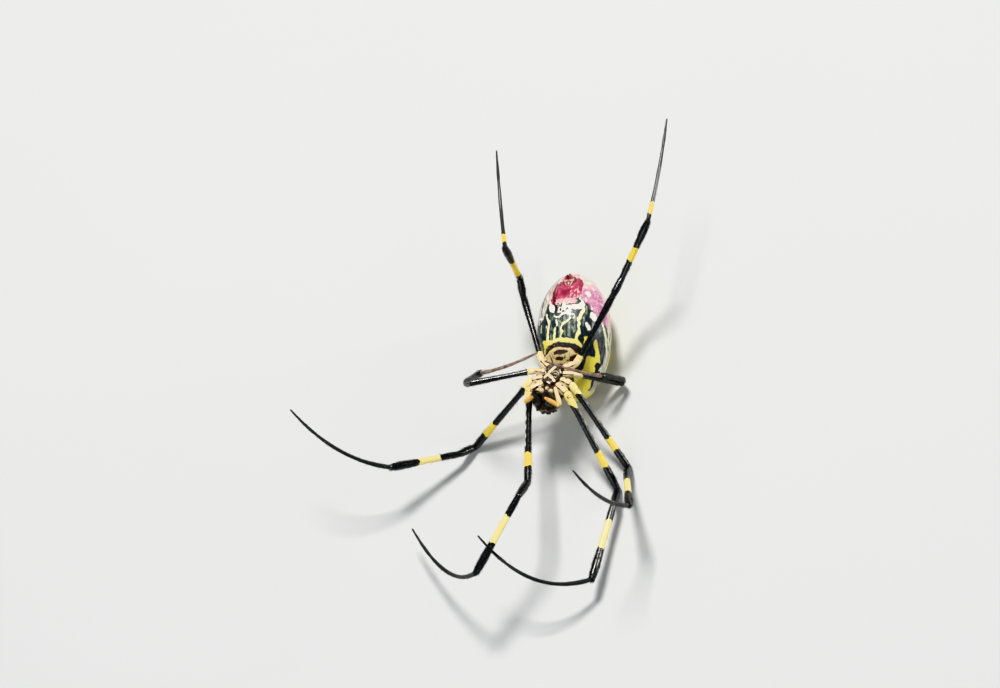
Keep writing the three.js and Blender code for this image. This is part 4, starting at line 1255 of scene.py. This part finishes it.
def jaw_patch(side):
    radii = through([[0, 0.5], [0.25, 0.66], [0.6, 0.68], [0.85, 0.55], [1, 0.4]])
    return lobe_patch((0.74 * side, -3.75, -1.15), (0.7 * side, -4.2, 0.95), radii, 40, chest_across)


def fang_patch(side):
    places = (0.85, -4.3, 1.35), (0.7, -4.35, 1.95), (0.15, -3.85, 1.75)
    line = arc(*[chest(x * side, y, z) for x, y, z in places], 40)
    return Patch(tube(line, 0.16 * np.linspace(1, 0, 40) ** 0.7 + 0.012, chest_out, 20))


# Spinnerets

SPINNERET_TILT = 32
# Each lobe: the sides it stands on, the places of its foot and its tip across and behind the middle, its
# height and its three radii
SPINNERET_LOBES = (
    ((1, -1), (0.34, -0.3), (0.22, -0.2), 0.85, (0.34, 0.3, 0.13)),
    ((1, -1), (0.3, 0.34), (0.18, 0.24), 0.72, (0.27, 0.24, 0.1)),
    ((1,), (0, 0.02), (0, 0.02), 0.5, (0.14, 0.12, 0.06)),
    ((1,), (0, 0.76), (0, 0.74), 0.5, (0.26, 0.22, 0.12)),
)
SPIN_AXES = np.array([turned(way, (1, 0, 0), -SPINNERET_TILT) for way in ((1, 0, 0), (0, 1, 0), (0, 0, 1))])
spin_origin = node_centre("spinnerets") - SPIN_AXES[2] * 0.1


def spinneret_seat():
    """The low oval mound that the spinnerets stand on, with a scalloped pale rim."""
    a = np.linspace(0.06, math.pi - 0.06, 30)
    line = spin_origin - SPIN_AXES[1] * (np.cos(a) * 1.05)[:, None]
    rings = tube(line, np.sin(a) * 0.9, SPIN_AXES[2], 40, lambda turn: 1 - 0.42 * np.abs(np.cos(turn)))
    rim = 0.16 * np.cos(turns(40) * 7) - 0.1 - 0.1 * np.sin(a)[:, None] ** 6
    return Patch(rings, {"pale_plate": rim}, ((0.02, 0.02), (0.45, 0.98)))


def spinneret_lobes():
    bottom = 0.02
    for sides, low, high, height, sizes in SPINNERET_LOBES:
        for side in sides:
            start = spin_origin + np.array((low[0] * side, low[1], 0)) @ SPIN_AXES
            end = spin_origin + np.array((high[0] * side, high[1], height)) @ SPIN_AXES
            line, radii, share = straight(start, end, through(list(zip((0, 0.55, 1), sizes))), 18)
            marks = {"pale_plate": 0.06 - np.abs(share - 0.5)[:, None] * 0.4}
            yield Patch(tube(line, radii, SPIN_AXES[1], 20), marks, ((0.5, bottom), (0.98, bottom + 0.14)))
            bottom += 0.16


# Building the pieces

legs = [Leg(pair, name, side) for pair in (1, 2, 3, 4) for name, side in SIDES]
unwrap = Unwrap(45.5)
leg_parts = [patch for leg in legs for patch in leg_patches(leg, unwrap)]
abdomen = abdomen_patch(unwrap.patch(19.5, 27.5, new_strip=True))
palp_parts = [patch for _, side in SIDES for patch in palp_patches(side, unwrap)]
skin = Sheet(leg_parts)
skin.patch(abdomen, 1)
for patch in (*palp_parts, chest_patch(unwrap.patch(4, 4)), waist_patch(unwrap.patch(2, 1.5))):
    skin.patch(patch)
flesh = ["abdomen", "waist", "palp_right", "palp_left", *[name for leg in legs for name in leg.names]]
skin.make("skin", [limb_skin, abdomen_skin], "black_cuticle", *flesh)

carapace = carapace_patch(Unwrap(24).patch(16, 9))
plate = plate_patch()
mouth_parts = list(mouth_patches())
spin_parts = list(spinneret_lobes())
Sheet([carapace]).make("carapace", [head_shell], "head_shell", "head_thorax")
Sheet([plate]).make("breastplate_shell", [plate_shell], "dark_shell", "breastplate")
Sheet(mouth_parts).make("mouthparts", [mouth_shell], "dark_shell", "mouth")
Sheet([spinneret_seat(), *spin_parts]).make("spinneret_cluster", [spinneret_skin], "spinneret", "spinnerets")
jaws = [jaw_patch(side) for _, side in SIDES]
for (name, side), jaw in zip(SIDES, jaws):
    Sheet([jaw]).make(f"jaw_shell_{name}", [jaw_shell], "dark_shell", f"jaw_{name}")
    Sheet([fang_patch(side)]).make(f"fang_shell_{name}", [fang_shell], "dark_shell", f"fang_{name}")
eye_gloss = eye_material()
for name in EYES:
    Sheet([eye_patch(name)]).make(f"lens_{name}", [eye_gloss], "eye", f"eye_{name}")

# Coats of hair

HAIR_PER_MM = {"coxa": 30, "trochanter": 30, "femur": 46, "patella": 60, "tibia": 70, "metatarsus": 42,
               "tarsus": 46, "palp_femur": 40, "palp_tibia": 59, "palp_tarsus": 80}
front_coat, hind_coat, belly_coat, head_coat, bristles = (Coat() for _ in range(5))
for patch in leg_parts + palp_parts:
    coat = front_coat if patch.pair < 3 else hind_coat
    fine = "tars" in patch.name
    count = int(HAIR_PER_MM[patch.name] * patch.length)
    coat.grow(patch, count, 0.22 if fine else 0.3, 0.02 if fine else 0.026, 22)
    if patch.name == "femur":
        late = smooth(patch.share, 0.76, 0.9)[:, None]
        coat.grow(patch, int(10 * patch.length), 0.26, 0.022, 28, density=late)
    if patch.name == "patella":
        coat.grow(patch, int(40 * patch.length), 0.26, 0.022, 28)
    if patch.name == "tibia":
        band_end = patch.band[1] if patch.band else 0.4
        late = smooth(patch.share, band_end - 0.05, band_end + 0.1)[:, None]
        coat.grow(patch, int(50 * patch.length), 0.33, 0.024, 28, density=late + 0.02)
    if patch.name in ("femur", "tibia", "patella", "metatarsus"):
        bristles.grow(patch, int(1.6 * patch.length), 0.6, 0.034, 36, bend=0.7, marks=False)
belly_coat.grow(abdomen, 7000, 0.2, 0.013, 20)
shell_places = local(carapace.rings)
behind_face = smooth(shell_places[..., 1], -4.1, -3.2) * smooth(shell_places[..., 2], -1.3, -1.6)
head_coat.grow(carapace, 14000, 0.3, 0.026, 18, density=behind_face, marks=False)
bristles.grow(carapace, 2600, 0.26, 0.02, 26, density=1 - behind_face, marks=False)
head_coat.grow(plate, 360, 0.24, 0.016, 26, marks=False)
for parts, count, length, width, lift in (
    (jaws, 420, 0.4, 0.03, 34), (mouth_parts, 160, 0.3, 0.024, 34), (spin_parts, 60, 0.2, 0.016, 26),
):
    for patch in parts:
        bristles.grow(patch, count, length, width, lift, marks=False)
front_coat.make("coat_front_legs", [limb_skin], "black_cuticle")
hind_coat.make("coat_hind_legs", [limb_skin], "black_cuticle")
belly_coat.make("coat_abdomen", [abdomen_skin], "abdomen_skin")
head_coat.make("coat_head", [silver_hair], "down")
bristles.make("bristles", [dark_hair], "black_cuticle")


# Claws

def claw_patches(leg):
    """The two claws at the tip of a foot."""
    tip, way = leg.foot[-1], unit(leg.foot[-1] - leg.foot[-4])
    beside = unit(np.cross(way, leg.back))
    for apart in (-1, 1):
        start = tip - way * 0.12 + beside * apart * 0.03
        bend = tip + way * 0.14 + beside * apart * 0.09
        end = tip + way * 0.1 + beside * apart * 0.1 - leg.back * 0.14
        yield Patch(tube(arc(start, bend, end, 16), 0.03 * np.linspace(1, 0, 16) + 0.005, leg.back, 8))


claws = Sheet([patch for leg in legs for patch in claw_patches(leg)])
claws.make("claws", [fang_shell], "dark_shell", mapped=False)


# The floor, the light and the camera

VIEW_HEADING = math.radians(28.6)  # the camera stands this far from the head end towards the right side
VIEW_RISE = math.radians(62)
VIEW_ROLL = math.radians(-2)
DISTANCE = 1.0
FIELD = 0.11494  # the width of the picture at the chest, in metres
CHEST_RIGHT = 0.0060  # the chest is this far right of the picture's middle
CHEST_BELOW = 0.0034  # and this far below it

flat = math.cos(VIEW_RISE)
toward = Vector((math.sin(VIEW_HEADING) * flat, -math.cos(VIEW_HEADING) * flat, math.sin(VIEW_RISE)))
upright = Vector((math.sin(VIEW_ROLL), math.cos(VIEW_ROLL), 0))
up = (upright - toward * upright.dot(toward)).normalized()
across = up.cross(toward)


def floor():
    mesh = bpy.data.meshes.new("floor")
    shape = bmesh.new()
    bmesh.ops.create_grid(shape, x_segments=2, y_segments=2, size=3)
    shape.to_mesh(mesh)
    shape.free()
    n = Nodes("floor_paint")
    grey = n.mix(n.noise(0.02, 2), colour(188, 189, 190), colour(193, 194, 195))
    mesh.materials.append(n.finish(grey, 0.75))
    placed("floor", mesh)


def camera():
    data = bpy.data.cameras.new("camera")
    data.sensor_width = 36
    data.lens = data.sensor_width * DISTANCE / FIELD
    data.clip_start = 0.01
    data.clip_end = 20
    piece = placed("camera", data)
    target = Vector(chest_origin * MM) - across * CHEST_RIGHT + up * CHEST_BELOW
    turn = Matrix((across, up, toward)).transposed().to_4x4()
    piece.matrix_world = Matrix.Translation(target + toward * DISTANCE) @ turn
    bpy.context.scene.camera = piece


def softbox(name, position, size, power, tint=(1, 1, 1)):
    data = bpy.data.lights.new(name, "AREA")
    data.shape = "RECTANGLE"
    data.size, data.size_y = size
    data.energy = power
    data.color = tint
    piece = placed(name, data)
    piece.location = position
    aim = Vector((0, 0, 0.008)) - position
    piece.rotation_euler = aim.to_track_quat("-Z", "Y").to_euler()


def lights():
    softbox("key", toward * 0.30 + up * 0.34 - across * 0.10, (0.10, 0.10), 2.9, (1, 0.98, 0.94))
    softbox("rim", toward * 0.10 + up * 0.14 + across * 0.42, (0.03, 0.3), 1.3)
    softbox("fill", toward * 0.36 - up * 0.25 - across * 0.2, (0.4, 0.3), 0.8, (0.95, 0.98, 1))
    world = bpy.data.worlds.new("studio")
    world.use_nodes = True
    background = world.node_tree.nodes["Background"]
    background.inputs["Color"].default_value = colour(225, 230, 232)
    background.inputs["Strength"].default_value = 0.36
    bpy.context.scene.world = world
    bpy.context.scene.view_settings.view_transform = "Khronos PBR Neutral"


floor()
camera()
lights()
